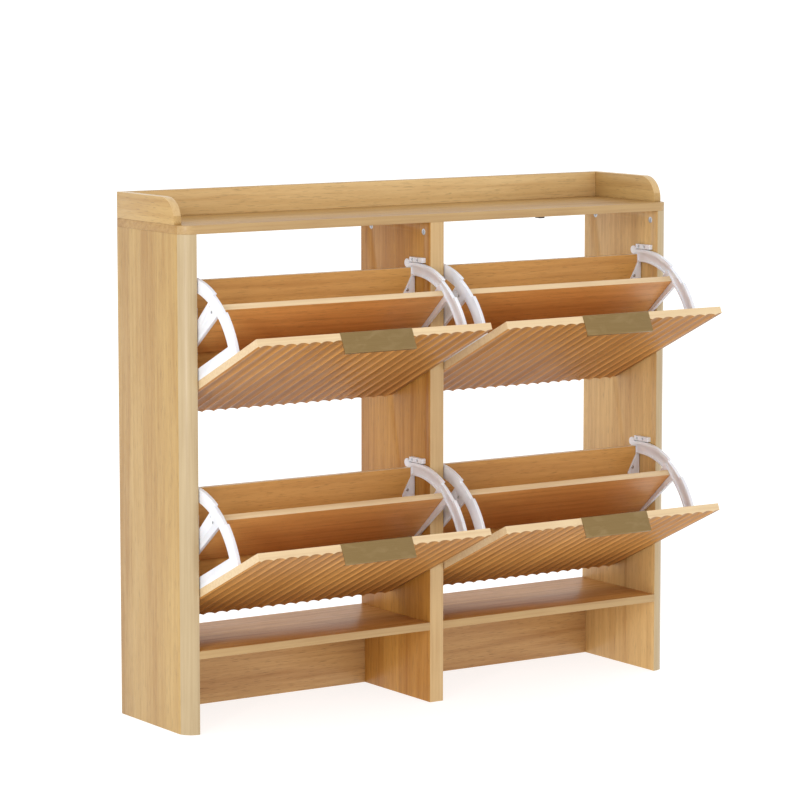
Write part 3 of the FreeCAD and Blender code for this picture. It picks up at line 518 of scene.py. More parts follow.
BRONZE = BrushedMetal("pull_bronze", (140, 116, 76), (164, 140, 100), (0.30, 0.46), lean=OPEN_LEAN)
ZINC = BrushedMetal("zinc_steel", (196, 198, 202), (168, 170, 174), (0.24, 0.42))
BEECH = Veneer("dowel_beech", (226, 196, 150), (204, 168, 120), Grain.ALONG_Y, contrast=0.7)


class Palette:
    """The finishes that have been made, each only once."""

    made: dict[str, bpy.types.Material] = {}

    @classmethod
    def get(cls, finish: Finish) -> bpy.types.Material:
        """Give a finish's material, making it the first time.

        Args:
            finish: The finish.

        Returns:
            Its material.
        """
        if finish.name not in cls.made:
            cls.made[finish.name] = finish.build()
        return cls.made[finish.name]


# ---------------------------------------------------------------------------
# Workbench


@dataclass(frozen=True)
class Box:
    """A box by its lowest and highest corners, in metres."""

    low: Vector
    high: Vector

    @property
    def size(self) -> Vector:
        """Give the box's three sizes."""
        return self.high - self.low

    @property
    def middle(self) -> Vector:
        """Give the box's middle."""
        return (self.high + self.low) / 2

    def plane(self, face: Face) -> float:
        """Give where a face lies along its axis."""
        return (self.high if face.sign > 0 else self.low)[face.axis]

    def touches(self, face: Face, point: Vector) -> bool:
        """Tell whether a point lies on a face's plane."""
        return abs(point[face.axis] - self.plane(face)) < ON_FACE


@dataclass(frozen=True)
class Tilt:
    """A lean about a line along X, from upright to the way a piece stands when open."""

    y: float = 0.0
    z: float = 0.0
    degrees: float = 0.0

    @property
    def matrix(self) -> Matrix:
        """Give the turn from upright to leaning.

        Returns:
            The turn about the line.
        """
        pivot = Vector((0.0, self.y, self.z))
        turn = Matrix.Rotation(math.radians(self.degrees), 4, "X")
        return Matrix.Translation(pivot) @ turn @ Matrix.Translation(-pivot)

    def points(self, node: str) -> np.ndarray:
        """Give a node's points as they are upright."""
        back = self.matrix.inverted()
        return np.array([back @ v.co for v in frame["nodes"][node].data.vertices])

    def box(self, node: str) -> Box:
        """Give a node's box as it is upright."""
        places = self.points(node)
        return Box(Vector(places.min(0)), Vector(places.max(0)))


UPRIGHT = Tilt()


class Bench:
    """The workbench: starts pieces, picks their faces and edges, and works them by hand tools."""

    @staticmethod
    def clear() -> None:
        """Put down everything that is held."""
        if bpy.context.object and bpy.context.object.mode != "OBJECT":
            bpy.ops.object.mode_set(mode="OBJECT")
        bpy.ops.object.select_all(action="DESELECT")

    @classmethod
    def hold(cls, piece: bpy.types.Object) -> bpy.types.Object:
        """Hold only this piece.

        Args:
            piece: The piece.

        Returns:
            The piece.
        """
        cls.clear()
        piece.select_set(True)
        bpy.context.view_layer.objects.active = piece
        return piece

    @classmethod
    def block(cls, name: str, box: Box) -> bpy.types.Object:
        """Start a piece from a block that fills a box.

        Args:
            name: The piece's name.
            box: The box.

        Returns:
            The block, its size and place in its mesh.
        """
        cls.clear()
        bpy.ops.mesh.primitive_cube_add(size=1.0, location=box.middle, scale=box.size)
        return cls.named(name)

    @classmethod
    def rod(cls, name: str, centre: Sequence[float], radius: float, depth: float, axis: int,
            sides: int = 32) -> bpy.types.Object:
        """Start a piece from a round bar.

        Args:
            name: The piece's name.
            centre: Its middle.
            radius: Its radius.
            depth: Its length.
            axis: The axis it lies along, 0, 1 or 2.
            sides: How many sides stand for the round.

        Returns:
            The bar, its place in its mesh.
        """
        cls.clear()
        turn = ((0.0, math.pi / 2, 0.0), (math.pi / 2, 0.0, 0.0), (0.0, 0.0, 0.0))[axis]
        bpy.ops.mesh.primitive_cylinder_add(vertices=sides, radius=radius, depth=depth,
                                            location=centre, rotation=turn)
        return cls.named(name)

    @classmethod
    def named(cls, name: str) -> bpy.types.Object:
        """Name the piece in hand and put its place into its mesh.

        Args:
            name: The piece's name.

        Returns:
            The piece.
        """
        piece = bpy.context.object
        piece.name = name
        piece.data.name = name
        bpy.ops.object.transform_apply(location=True, rotation=True, scale=True)
        piece.data.materials.clear()
        return piece

    @classmethod
    def copy(cls, name: str, source: bpy.types.Object) -> bpy.types.Object:
        """Start a piece from a copy of another's mesh.

        Args:
            name: The new piece's name.
            source: The piece to copy.

        Returns:
            The new piece, with its own mesh.
        """
        piece = bpy.data.objects.new(name, source.data.copy())
        piece.data.name = name
        piece.data.materials.clear()
        bpy.context.scene.collection.objects.link(piece)
        return cls.hold(piece)

    @classmethod
    def edit(cls, piece: bpy.types.Object, kind: str = "VERT", action: str = "SELECT") -> None:
        """Go into edit mode with all of a piece selected, or none of it.

        Args:
            piece: The piece.
            kind: What is selected by: VERT, EDGE or FACE.
            action: SELECT for all of it, DESELECT for none.
        """
        cls.hold(piece)
        bpy.ops.object.mode_set(mode="EDIT")
        bpy.ops.mesh.select_mode(type=kind)
        bpy.ops.mesh.select_all(action=action)

    @staticmethod
    def done() -> None:
        """Leave edit mode."""
        bpy.ops.object.mode_set(mode="OBJECT")

    @classmethod
    def pick_edges(cls, piece: bpy.types.Object, wanted: Test) -> None:
        """Go into edit mode with only the wanted edges selected.

        Args:
            piece: The piece.
            wanted: Says of an edge's middle and direction whether it is wanted.
        """
        cls.edit(piece, "EDGE", "DESELECT")
        mesh = bmesh.from_edit_mesh(piece.data)
        for edge in mesh.edges:
            first, second = (v.co for v in edge.verts)
            if wanted((first + second) / 2, (second - first).normalized()):
                edge.select_set(True)
        bmesh.update_edit_mesh(piece.data)

    @classmethod
    def pick_faces(cls, piece: bpy.types.Object, wanted: Test) -> None:
        """Go into edit mode with only the wanted faces selected.

        Args:
            piece: The piece.
            wanted: Says of a face's middle and normal whether it is wanted.
        """
        cls.edit(piece, "FACE", "DESELECT")
        mesh = bmesh.from_edit_mesh(piece.data)
        for item in mesh.faces:
            if wanted(item.calc_center_median(), item.normal):
                item.select_set(True)
        bmesh.update_edit_mesh(piece.data)

    @classmethod
    def round_edges(cls, piece: bpy.types.Object, radius: float, segments: int,
                    wanted: Test) -> None:
        """Round the wanted edges.

        Args:
            piece: The piece.
            radius: The rounding's radius.
            segments: How many facets it has.
            wanted: Says of an edge's middle and direction whether it is rounded.
        """
        cls.pick_edges(piece, wanted)
        bpy.ops.mesh.bevel(offset=radius, segments=segments, profile=0.5, affect="EDGES")
        cls.done()

    @classmethod
    def apply(cls, piece: bpy.types.Object, kind: str, **settings: object) -> None:
        """Give the piece a modifier and apply it.

        Args:
            piece: The piece.
            kind: The modifier's type.
            settings: The modifier's settings.
        """
        cls.hold(piece)
        modifier = piece.modifiers.new(kind.title(), kind)
        for name, value in settings.items():
            setattr(modifier, name, value)
        bpy.ops.object.modifier_apply(modifier=modifier.name)

    @classmethod
    def cut(cls, piece: bpy.types.Object, tools: Iterable[bpy.types.Object]) -> None:
        """Cut the tools' shapes out of the piece, and put the tools away.

        Args:
            piece: The piece.
            tools: The shapes to cut out.
        """
        for tool in tools:
            cls.apply(piece, "BOOLEAN", operation="DIFFERENCE", solver="EXACT", object=tool)
            bpy.data.objects.remove(tool, do_unlink=True)

    @classmethod
    def soften(cls, piece: bpy.types.Object, width: float, segments: int = 2,
               angle: float = 35.0) -> None:
        """Take the sharpness off every edge, as a light sanding does.

        Args:
            piece: The piece.
            width: How wide the softening is.
            segments: How many facets it has.
            angle: The least angle between faces that counts as an edge, in degrees.
        """
        cls.apply(piece, "BEVEL", width=width, segments=segments, limit_method="ANGLE",
                  angle_limit=math.radians(angle), harden_normals=False, use_clamp_overlap=True)
        cls.shade(piece, angle)

    @classmethod
    def shade(cls, piece: bpy.types.Object, angle: float) -> None:
        """Shade the piece smooth except at edges sharper than the angle."""
        cls.hold(piece)
        bpy.ops.object.shade_smooth_by_angle(angle=math.radians(angle))

    @classmethod
    def tidy(cls, piece: bpy.types.Object, flat: float = 0.0) -> None:
        """Merge doubled points, dissolve flat joins and turn the faces outwards.

        Args:
            piece: The piece.
            flat: Joins flatter than this many degrees are dissolved, if it is above zero.
        """
        cls.edit(piece)
        bpy.ops.mesh.remove_doubles(threshold=0.005 * MM)
        if flat > 0:
            bpy.ops.mesh.dissolve_limited(angle_limit=math.radians(flat))
        bpy.ops.mesh.normals_make_consistent(inside=False)
        cls.done()

    @classmethod
    def settle(cls, piece: bpy.types.Object, place: Matrix) -> bpy.types.Object:
        """Put a piece in its place, and put the place into its mesh.

        Args:
            piece: The piece.
            place: Where it goes and how it is turned.

        Returns:
            The piece.
        """
        cls.hold(piece)
        piece.matrix_world = place
        bpy.context.view_layer.update()
        bpy.ops.object.transform_apply(location=True, rotation=True, scale=True)
        return piece

    @classmethod
    def join(cls, name: str, parts: Sequence[bpy.types.Object]) -> bpy.types.Object:
        """Join parts into one piece.

        Args:
            name: The piece's name.
            parts: The parts.

        Returns:
            The joined piece.
        """
        cls.clear()
        for part in parts:
            part.select_set(True)
        bpy.context.view_layer.objects.active = parts[0]
        if len(parts) > 1:
            bpy.ops.object.join()
        piece = bpy.context.object
        piece.name = name
        piece.data.name = name
        return piece


def dress(piece: bpy.types.Object, base: Finish, bands: dict[Face, Finish]) -> None:
    """Give a piece its finish, and bands on the faces that have them.

    Args:
        piece: The piece, before it leans.
        base: The finish of every face with no band.
        bands: The finish of each banded face.
    """
    piece.data.materials.clear()
    piece.data.materials.append(Palette.get(base))
    numbers: dict[str, int] = {base.name: 0}
    for finish in bands.values():
        if finish.name not in numbers:
            numbers[finish.name] = len(piece.data.materials)
            piece.data.materials.append(Palette.get(finish))
    for polygon in piece.data.polygons:
        polygon.material_index = 0
        for face, finish in bands.items():
            if polygon.normal[face.axis] * face.sign > LEANS_TO_AXIS:
                polygon.material_index = numbers[finish.name]
                break


def fit(piece: bpy.types.Object, node: str, body: str) -> bpy.types.Object:
    """Put a finished piece in its place on a body.

    Args:
        piece: The piece.
        node: The node it stands for.
        body: The body it moves with.

    Returns:
        The piece.
    """
    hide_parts(node)
    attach(piece, body)
    LOG.info("%s: %d faces on %s", piece.name, len(piece.data.polygons), body)
    return piece


def paint(node: str, finish: Finish) -> None:
    """Give a node that is kept as it is its finish.

    Args:
        node: The node's name.
        finish: Its finish.
    """
    piece = frame["nodes"][node]
    if not piece.material_slots:
        piece.data.materials.append(Palette.get(finish))
    for slot in piece.material_slots:
        slot.link = "OBJECT"
        slot.material = Palette.get(finish)
    LOG.info("%s: kept, in %s", node, finish.name)


# ---------------------------------------------------------------------------
# Boards


@dataclass
class Board:
    """One flat board: a block with some edges rounded, all edges softened, and banded faces."""

    node: str
    body: str
    slot: str
    veneer: Finish
    bands: dict[Face, Finish] = field(default_factory=dict)
    tilt: Tilt = UPRIGHT
    rounds: list[tuple[float, Face, Face]] = field(default_factory=list)
    round_facets: int = 12
    softness: float = 0.6 * MM
    bores: list[tuple[Vector, float, float]] = field(default_factory=list)

    def build(self) -> bpy.types.Object:
        """Make, dress and fit the board.

        Returns:
            The finished board.
        """
        box = self.tilt.box(self.node)
        piece = Bench.block(f"{self.node}_veneered", box)
        for radius, first, second in self.rounds:
            Bench.round_edges(piece, radius, self.round_facets,
                              lambda middle, _way, a=first, b=second: box.touches(a, middle)
                              and box.touches(b, middle))
        tools = [Bench.rod("bore", centre, radius, depth, 0) for centre, radius, depth in self.bores]
        Bench.cut(piece, tools)
        Bench.soften(piece, self.softness)
        dress(piece, self.veneer, self.bands)
        if self.tilt.degrees:
            Bench.settle(piece, self.tilt.matrix)
        return fit(piece, self.node, self.body)


@dataclass
class Carcass:
    """The fixed boards: sides, divider, top with its gallery, shelves and plinth boards."""

    side_round: float = 28.0 * MM
    corner_round: float = 28.0 * MM
    gallery_round: float = 44.0 * MM
    cam_bore: float = 6.15 * MM
    cam_play: float = 0.3 * MM
    search_play: float = 1.0 * MM

    def cam_bores(self, node: str) -> list[tuple[Vector, float, float]]:
        """Find the bores that a board needs for its cams.

        Args:
            node: The board's node.

        Returns:
            Each bore's middle, radius and length, on the cam's axis.
        """
        low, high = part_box(node)
        bores = []
        for island in islands(frame["nodes"]["cam_locks"]):
            middle = (island.max(0) + island.min(0)) / 2
            if not low[0] - self.search_play < middle[0] < high[0] + self.search_play:
                continue
            depth = float(np.ptp(island[:, 0]))
            bores.append((Vector(middle), self.cam_bore, depth + self.cam_play))
        return bores

    def build(self) -> None:
        """Make every fixed board."""
        for hand, outer, veneer in ((Hand.LEFT, Face.LEFT, SIDE_OAK),
                                    (Hand.RIGHT, Face.RIGHT, RIGHT_SIDE_OAK)):
            name = hand.value
            Board(f"{name}_side", CARCASS, "upright_oak", veneer, {Face.FRONT: SIDE_BAND},
                  rounds=[(self.side_round, outer, Face.FRONT)],
                  bores=self.cam_bores(f"{name}_side")).build()
            Board(f"{name}_rail", CARCASS, "gallery_end_oak", END_OAK, {Face.TOP: BAND_Y},
                  rounds=[(self.gallery_round, Face.FRONT, Face.TOP)]).build()
            Board(f"{name}_shelf", CARCASS, "case_oak", SHELF_OAK, {Face.FRONT: CASE_BAND_X}).build()
            Board(f"{name}_plinth_board", CARCASS, "case_oak", PLINTH_OAK).build()
        Board("divider", CARCASS, "upright_oak", DIVIDER_OAK, {Face.FRONT: BAND_Z},
              bores=self.cam_bores("divider")).build()
        Board("top_board", CARCASS, "case_oak", TOP_OAK, {Face.FRONT: CASE_BAND_X},
              rounds=[(self.corner_round, Face.LEFT, Face.FRONT),
                      (self.corner_round, Face.RIGHT, Face.FRONT)]).build()
        Board("back_rail", CARCASS, "gallery_oak", RAIL_OAK, {Face.TOP: CASE_BAND_X}).build()


# ---------------------------------------------------------------------------
# Compartments


@dataclass
class FlutedFront:
    """A tip-out front with a row of hollow flutes down its face."""

    node: str
    body: str
    tilt: Tilt
    pitch: float = 25.4 * MM
    land: float = 0.6 * MM
    depth: float = 3.0 * MM
    lead: float = 4.5 * MM
    facets: int = 12
    shade_angle: float = 14.0
    depth_slack: float = 1.001

    @property
    def cove_radius(self) -> float:
        """Give the radius of each hollow."""
        half = (self.pitch - self.land) / 2
        return (half * half + self.depth * self.depth) / (2 * self.depth)

    def build(self) -> bpy.types.Object:
        """Make, dress and fit the front.

        Returns:
            The finished front.
        """
        box = self.tilt.box(self.node)
        piece = self.section(box)
        self.raise_up(piece, box)
        Bench.tidy(piece)
        Bench.shade(piece, self.shade_angle)
        bands: dict[Face, Finish] = {face: BAND_X
                                     for face in (Face.TOP, Face.BOTTOM, Face.LEFT, Face.RIGHT)}
        bands[Face.BACK] = POCKET_OAK
        dress(piece, FLUTED_OAK, bands)
        self.keep_flutes(piece)
        # Each point's depth drives the painted shade in the flute hollows.
        self.mark_painted_cove_shade(piece, box)
        Bench.settle(piece, self.tilt.matrix)
        return fit(piece, self.node, self.body)

    def mark_painted_cove_shade(self, piece: bpy.types.Object, box: Box) -> None:
        """Record how deep in a flute each point lies, for the painted shade that darkens the hollows.

        Args:
            piece: The front, before it leans.
            box: The front's box.
        """
        depths = piece.data.attributes.new("hollow", "FLOAT", "POINT")
        for vertex, value in zip(piece.data.vertices, depths.data):
            into = (vertex.co.y - box.low.y) / self.depth
            value.value = into if into <= self.depth_slack else 0.0

    def keep_flutes(self, piece: bpy.types.Object) -> None:
        """Give the flutes' slopes the face's finish, and only the flat edges the band.

        Args:
            piece: The front, before it leans.
        """
        for polygon in piece.data.polygons:
            if abs(polygon.normal[0]) > LEANS_TO_AXIS and polygon.normal[1] < -0.05:
                polygon.material_index = 0

    def section(self, box: Box) -> bpy.types.Object:
        """Draw the front's outline across, from a spun hollow repeated along it.

        Args:
            box: The front's box.

        Returns:
            A flat outline at the front's foot.
        """
        half = (self.pitch - self.land) / 2
        centre_y = box.low.y + self.depth - self.cove_radius
        sweep = 2 * math.asin(half / self.cove_radius)
        start_x = box.low.x + self.lead
        foot = box.low.z
        Bench.clear()
        bpy.ops.mesh.primitive_plane_add(size=0.01, location=(start_x, box.low.y, foot))
        piece = Bench.named(f"{self.node}_fluted")
        Bench.edit(piece)
        bpy.ops.mesh.merge(type="CENTER")
        centre = (start_x + half, centre_y, foot)
        bpy.ops.mesh.spin(steps=self.facets, angle=sweep, center=centre, axis=(0.0, 0.0, 1.0))
        bpy.ops.mesh.extrude_region_move(TRANSFORM_OT_translate={"value": (self.land, 0.0, 0.0)})
        Bench.done()
        count = int(math.ceil(box.size.x / self.pitch)) + 1
        Bench.apply(piece, "ARRAY", count=count, use_relative_offset=False, use_constant_offset=True,
                    constant_offset_displace=(self.pitch, 0.0, 0.0), use_merge_vertices=True,
                    merge_threshold=0.01 * MM)
        Bench.edit(piece)
        bpy.ops.transform.translate(value=(-self.pitch, 0.0, 0.0))
        for plane_x, inner, outer in ((box.low.x, True, False), (box.high.x, False, True)):
            bpy.ops.mesh.select_all(action="SELECT")
            bpy.ops.mesh.bisect(plane_co=(plane_x, 0.0, 0.0), plane_no=(1.0, 0.0, 0.0),
                                clear_inner=inner, clear_outer=outer)
        Bench.done()
        return piece

    def raise_up(self, piece: bpy.types.Object, box: Box) -> None:
        """Close the outline behind and raise it to the front's height.

        Args:
            piece: The outline.
            box: The front's box.
        """
        Bench.edit(piece, "VERT", "DESELECT")
        mesh = bmesh.from_edit_mesh(piece.data)
        ends = [v for v in mesh.verts if len(v.link_edges) == 1]
        reach = box.high.y - ends[0].co.y
        for vertex in ends:
            vertex.select_set(True)
        bmesh.update_edit_mesh(piece.data)
        bpy.ops.mesh.extrude_vertices_move(TRANSFORM_OT_translate={"value": (0.0, reach, 0.0)})
        mesh = bmesh.from_edit_mesh(piece.data)
        behind = [v for v in mesh.verts if len(v.link_edges) == 1]
        for vertex in behind:
            vertex.co.y = box.high.y
        mesh.select_mode = {"VERT"}
        for vertex in mesh.verts:
            vertex.select_set(vertex in behind)
        mesh.select_flush_mode()
        bmesh.update_edit_mesh(piece.data)
        bpy.ops.mesh.edge_face_add()
        bpy.ops.mesh.select_all(action="SELECT")
        bpy.ops.mesh.edge_face_add()
        bpy.ops.mesh.select_all(action="SELECT")
        bpy.ops.mesh.extrude_region_move(
            TRANSFORM_OT_translate={"value": (0.0, 0.0, box.size.z)})
        Bench.done()


@dataclass
class BentPull:
    """A pull bent from one strip: a lip, a flat plate to take hold of, and a leg behind the front."""

    node: str
    body: str
    tilt: Tilt
    metal: float = 1.2 * MM
    bend: float = 1.92 * MM
    bend_facets: int = 6
    easing: float = 0.22 * MM
    face_play: float = 0.3 * MM

    def build(self) -> bpy.types.Object:
        """Make, dress and fit the pull.

        Returns:
            The finished pull.
        """
        box = self.tilt.box(self.node)
        lip_foot, leg_foot = self.feet(box)
        Bench.clear()
        bpy.ops.mesh.primitive_plane_add(size=1.0, location=(box.middle.x, box.middle.y, box.high.z))
        piece = bpy.context.object
        piece.scale = (box.size.x, box.size.y, 1.0)
        piece = Bench.named(f"{self.node}_bent")
        for face, foot in ((Face.FRONT, lip_foot), (Face.BACK, leg_foot)):
            Bench.pick_edges(piece, lambda middle, _way, side=face: box.touches(side, middle)
                             and box.touches(Face.TOP, middle))
            bpy.ops.mesh.extrude_region_move(
                TRANSFORM_OT_translate={"value": (0.0, 0.0, foot - box.high.z)})
            Bench.done()
        Bench.round_edges(piece, self.bend, self.bend_facets,
                          lambda middle, way: abs(way.x) > ALONG_AXIS and box.touches(Face.TOP, middle))
        Bench.tidy(piece)
        self.face_up(piece, box)
        Bench.apply(piece, "SOLIDIFY", thickness=self.metal, offset=-1.0, use_even_offset=True)
        Bench.soften(piece, self.easing, 2, 40.0)
        dress(piece, BRONZE, {})
        Bench.settle(piece, self.tilt.matrix)
        return fit(piece, self.node, self.body)

    def face_up(self, piece: bpy.types.Object, box: Box) -> None:
        """Turn the strip's outer face upwards, so that its metal goes inwards.

        Args:
            piece: The pull, still a thin strip.
            box: The pull's box.
        """
        top = [p for p in piece.data.polygons if box.touches(Face.TOP, p.center)]
        if top and top[0].normal.z < 0:
            Bench.edit(piece)
            bpy.ops.mesh.flip_normals()
            Bench.done()

    def feet(self, box: Box) -> tuple[float, float]:
        """Find how far down the lip and the leg reach.

        Args:
            box: The pull's box before the lean.

        Returns:
            The heights of the lip's and the leg's feet.
        """
        places = self.tilt.points(self.node)
        lip = places[np.abs(places[:, 1] - box.low.y) < self.face_play]
        leg = places[np.abs(places[:, 1] - box.high.y) < self.face_play]
        return float(lip[:, 2].min()), float(leg[:, 2].min())


def islands(piece: bpy.types.Object) -> list[np.ndarray]:
    """Find the separate parts of a node's mesh.

    Args:
        piece: The node.

    Returns:
        The points of each part, in a steady order.
    """
    mesh = piece.data
    places = np.array([v.co for v in mesh.vertices])
    keys = np.round(places / 0.00001).astype(np.int64)
    _, same = np.unique(keys, axis=0, return_inverse=True)
    same = same.reshape(-1)
    parent = list(range(int(same.max()) + 1))

    def root(item: int) -> int:
        """Follow a point to the one that stands for its part."""
        while parent[item] != item:
            parent[item] = parent[parent[item]]
            item = parent[item]
        return item

    for polygon in mesh.polygons:
        first, *rest = [int(same[v]) for v in polygon.vertices]
        for other in rest:
            parent[root(other)] = root(first)
    groups: dict[int, list[int]] = {}
    for index, item in enumerate(same):
        groups.setdefault(root(int(item)), []).append(index)
    return [places[indices] for _, indices in sorted(groups.items())]


@dataclass
class ScrewSet:
    """Pan-headed screws with a crossed recess, one modelled and the rest copied from it."""

    node: str
    body: str
    recess: float = 0.42
    blade: float = 0.13
    recess_depth: float = 0.7
    rings: tuple[float, float] = (0.22, 0.20)
    drops: tuple[tuple[float, float], ...] = ((0.9, 0.45), (0.68, 0.12))
    point: float = 0.35
    sides: int = 20
    stem_sides: int = 10
    end_band: float = 0.4 * MM
    neck: float = 1.0 * MM

    def placing(self, part: np.ndarray) -> tuple[Matrix, float, float, float, float]:
        """Work out one screw's place and sizes from its solid.

        Args:
            part: The solid's points.

        Returns:
            The place of the head's underside with +Z out of the head, then the head's radius and
            height, and the shank's radius and length.
        """
        centre = part.mean(0)
        _, _, ways = np.linalg.svd(part - centre, full_matrices=False)
        axis = ways[0]
        along = (part - centre) @ axis
        spread = np.linalg.norm((part - centre) - np.outer(along, axis), axis=1)
        low_end = spread[along < along.min() + self.end_band].max()
        high_end = spread[along > along.max() - self.end_band].max()
        if low_end > high_end:
            axis, along = -axis, -along
        head_radius = float(spread.max())
        head_under = float(along[spread > head_radius - ON_FACE].min())
        head_top = float(along.max())
        shank = spread[along < head_under - self.neck]
        shank_radius = float(shank.max()) if len(shank) else head_radius / 2
        turn = Vector(axis).to_track_quat("Z", "Y").to_matrix().to_4x4()
        place = Matrix.Translation(Vector(centre + axis * head_under)) @ turn
        return place, head_radius, head_top - head_under, shank_radius, head_under - float(along.min())

    def screw(self, head: float, height: float, shank: float, length: float) -> bpy.types.Object:
        """Model one screw standing on its point.

        Args:
            head: The head's radius.
            height: The head's height.
            shank: The shank's radius.
            length: The shank's length.

        Returns:
            The screw, its head's underside at the origin.
        """
        body = Bench.rod("screw_blank", (0.0, 0.0, height / 2), head, height, 2, self.sides)
        Bench.pick_faces(body, lambda _middle, normal: normal.z > ALONG_AXIS)
        for inset in self.rings:
            bpy.ops.mesh.inset(thickness=head * inset, depth=0.0)
        Bench.done()
        for beyond, drop in self.drops:
            Bench.pick_edges(body, lambda middle, _way, ring=beyond: middle.z > height * 0.99
                             and math.hypot(middle.x, middle.y) > head * ring)
            bpy.ops.transform.translate(value=(0.0, 0.0, -height * drop))
            Bench.done()
        blade, reach, deep = head * self.blade, head * self.recess, height * self.recess_depth
        cross = [Bench.block("slot", Box(Vector((-w, -d, height - deep)), Vector((w, d, height * 1.2))))
                 for w, d in ((reach, blade), (blade, reach))]
        Bench.cut(body, cross)
        stem = Bench.rod("screw_stem", (0.0, 0.0, -length / 2), shank, length, 2, self.stem_sides)
        Bench.pick_faces(stem, lambda _middle, normal: normal.z < -ALONG_AXIS)
        bpy.ops.transform.resize(value=(self.point, self.point, 1.0),
                                 center_override=(0.0, 0.0, -length))
        Bench.done()
        whole = Bench.join("screw_pattern", [body, stem])
        Bench.shade(whole, 35.0)
        return whole

    def build(self) -> bpy.types.Object:
        """Make the set from one pattern of each size, and fit it.

        Returns:
            The finished set.
        """
        patterns: dict[tuple[int, ...], bpy.types.Object] = {}
        placed = []
        for part in islands(frame["nodes"][self.node]):
            place, head, height, shank, length = self.placing(part)
            key = tuple(round(size * 10000) for size in (head, height, shank, length))
            if key not in patterns:
                patterns[key] = self.screw(head, height, shank, length)
            item = Bench.copy("screw", patterns[key])
            placed.append(Bench.settle(item, place))
        for pattern in patterns.values():
            bpy.data.objects.remove(pattern, do_unlink=True)
        piece = Bench.join(f"{self.node}_driven", placed)
        dress(piece, ZINC, {})
        return fit(piece, self.node, self.body)


@dataclass
class CamSet:
    """Cam locks: a disc with a raised rim and a crossed slot, set in a bore."""

    node: str = "cam_locks"
    body: str = CARCASS
    rim: float = 0.14
    sink: float = 0.35 * MM
    arm: float = 0.62
    blade: float = 0.13
    slot_depth: float = 2.2 * MM
    easing: float = 0.12 * MM

    def build(self) -> bpy.types.Object:
        """Make every cam from one pattern, and fit the set.

        Returns:
            The finished set.
        """
        parts = islands(frame["nodes"][self.node])
        radius = float(np.ptp(parts[0][:, 1])) / 2
        depth = float(np.ptp(parts[0][:, 0]))
        pattern = self.cam(radius, depth)
        placed = []
        for part in parts:
            middle = (part.max(0) + part.min(0)) / 2
            toward = 1.0 if self.faces_right(float(middle[0])) else -1.0
            item = Bench.copy("cam", pattern)
            turn = Matrix.Rotation(toward * math.pi / 2, 4, "Y")
            placed.append(Bench.settle(item, Matrix.Translation(Vector(middle)) @ turn))
        bpy.data.objects.remove(pattern, do_unlink=True)
        piece = Bench.join(f"{self.node}_turned", placed)
        dress(piece, ZINC, {})
        return fit(piece, self.node, self.body)

    def faces_right(self, x: float) -> bool:
        """Tell whether the cam at x looks towards +X, away from its board's middle.

        Args:
            x: The cam's middle.

        Returns:
            True if its slot is on the +X side.
        """
        for board in ("left_side", "right_side", "divider"):
            low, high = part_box(board)
            if low.x <= x <= high.x:
                return x > (low.x + high.x) / 2
        return False

    def cam(self, radius: float, depth: float) -> bpy.types.Object:
        """Model one cam lying with its face up.

        Args:
            radius: Its radius.
            depth: Its height.

        Returns:
            The cam, its middle at the origin.
        """
        piece = Bench.rod("cam_pattern", (0.0, 0.0, 0.0), radius, depth, 2)
        Bench.pick_faces(piece, lambda _middle, normal: normal.z > ALONG_AXIS)
        bpy.ops.mesh.inset(thickness=radius * self.rim, depth=-self.sink)
        Bench.done()
        arm, blade, top = radius * self.arm, radius * self.blade, depth / 2
        slots = [Bench.block("slot", Box(Vector((-w, -d, top - self.slot_depth)),
                                         Vector((w, d, top + MM))))
                 for w, d in ((arm, blade), (blade, arm))]
        Bench.cut(piece, slots)
        Bench.soften(piece, self.easing, 1, 40.0)
        return piece


@dataclass
class Moulding:
    """A moulded part: the solid's own shape with its flats made whole and its edges eased."""

    node: str
    body: str
    slot: str
    finish: Finish
    easing: float = 0.35 * MM

    def build(self) -> bpy.types.Object:
        """Make, dress and fit the moulding.

        Returns:
            The finished moulding.
        """
        piece = Bench.copy(f"{self.node}_moulded", frame["nodes"][self.node])
        Bench.tidy(piece, 1.0)
        Bench.soften(piece, self.easing, 2, 32.0)
        dress(piece, self.finish, {})
        return fit(piece, self.node, self.body)


@dataclass
class Compartment:
    """One tip-out compartment: its front, pull, two boards, frames and screws, and its fixed gear."""

    row: Row
    column: Hand
    open_degrees: float = OPEN_LEAN
    mid_degrees: float = MID_LEAN

    @property
    def name(self) -> str:
        """Give the compartment's name."""
        return f"{self.row.value}_{self.column.value}"

    @property
    def body(self) -> str:
        """Give the body the compartment's pieces move with."""
        return f"{self.name}_compartment"

    def tilt(self, degrees: float) -> Tilt:
        """Give a lean about the compartment's pins.

        Args:
            degrees: How far the piece leans.

        Returns:
            The lean.
        """
        joint = next(j for j in frame["joints"] if j["name"] == f"{self.name}_tip")
        _, y, z = joint["pos_m"]
        return Tilt(y, z, degrees)

    def build(self) -> None:
        """Make every piece of the compartment."""
        FlutedFront(f"{self.name}_front", self.body, self.tilt(self.open_degrees)).build()
        BentPull(f"{self.name}_pull", self.body, self.tilt(self.open_degrees)).build()
        Board(f"{self.name}_mid_board", self.body, "pocket_oak", MID_OAK_PAINTED_LIGHT,
              {Face.TOP: BAND_X}, tilt=self.tilt(self.mid_degrees)).build()
        Board(f"{self.name}_back_board", self.body, "pocket_oak", BACK_OAK_PAINTED_LIGHT,
              {Face.TOP: BAND_X}, tilt=self.tilt(0.0)).build()
        for hand in Hand:
            for part, body in (("frame", self.body), ("pin_plate", CARCASS), ("stop", CARCASS)):
                Moulding(f"{self.name}_{hand.value}_{part}", body, "white_moulding",
                         WHITE_PLASTIC).build()
        ScrewSet(f"{self.name}_compartment_screws", self.body).build()


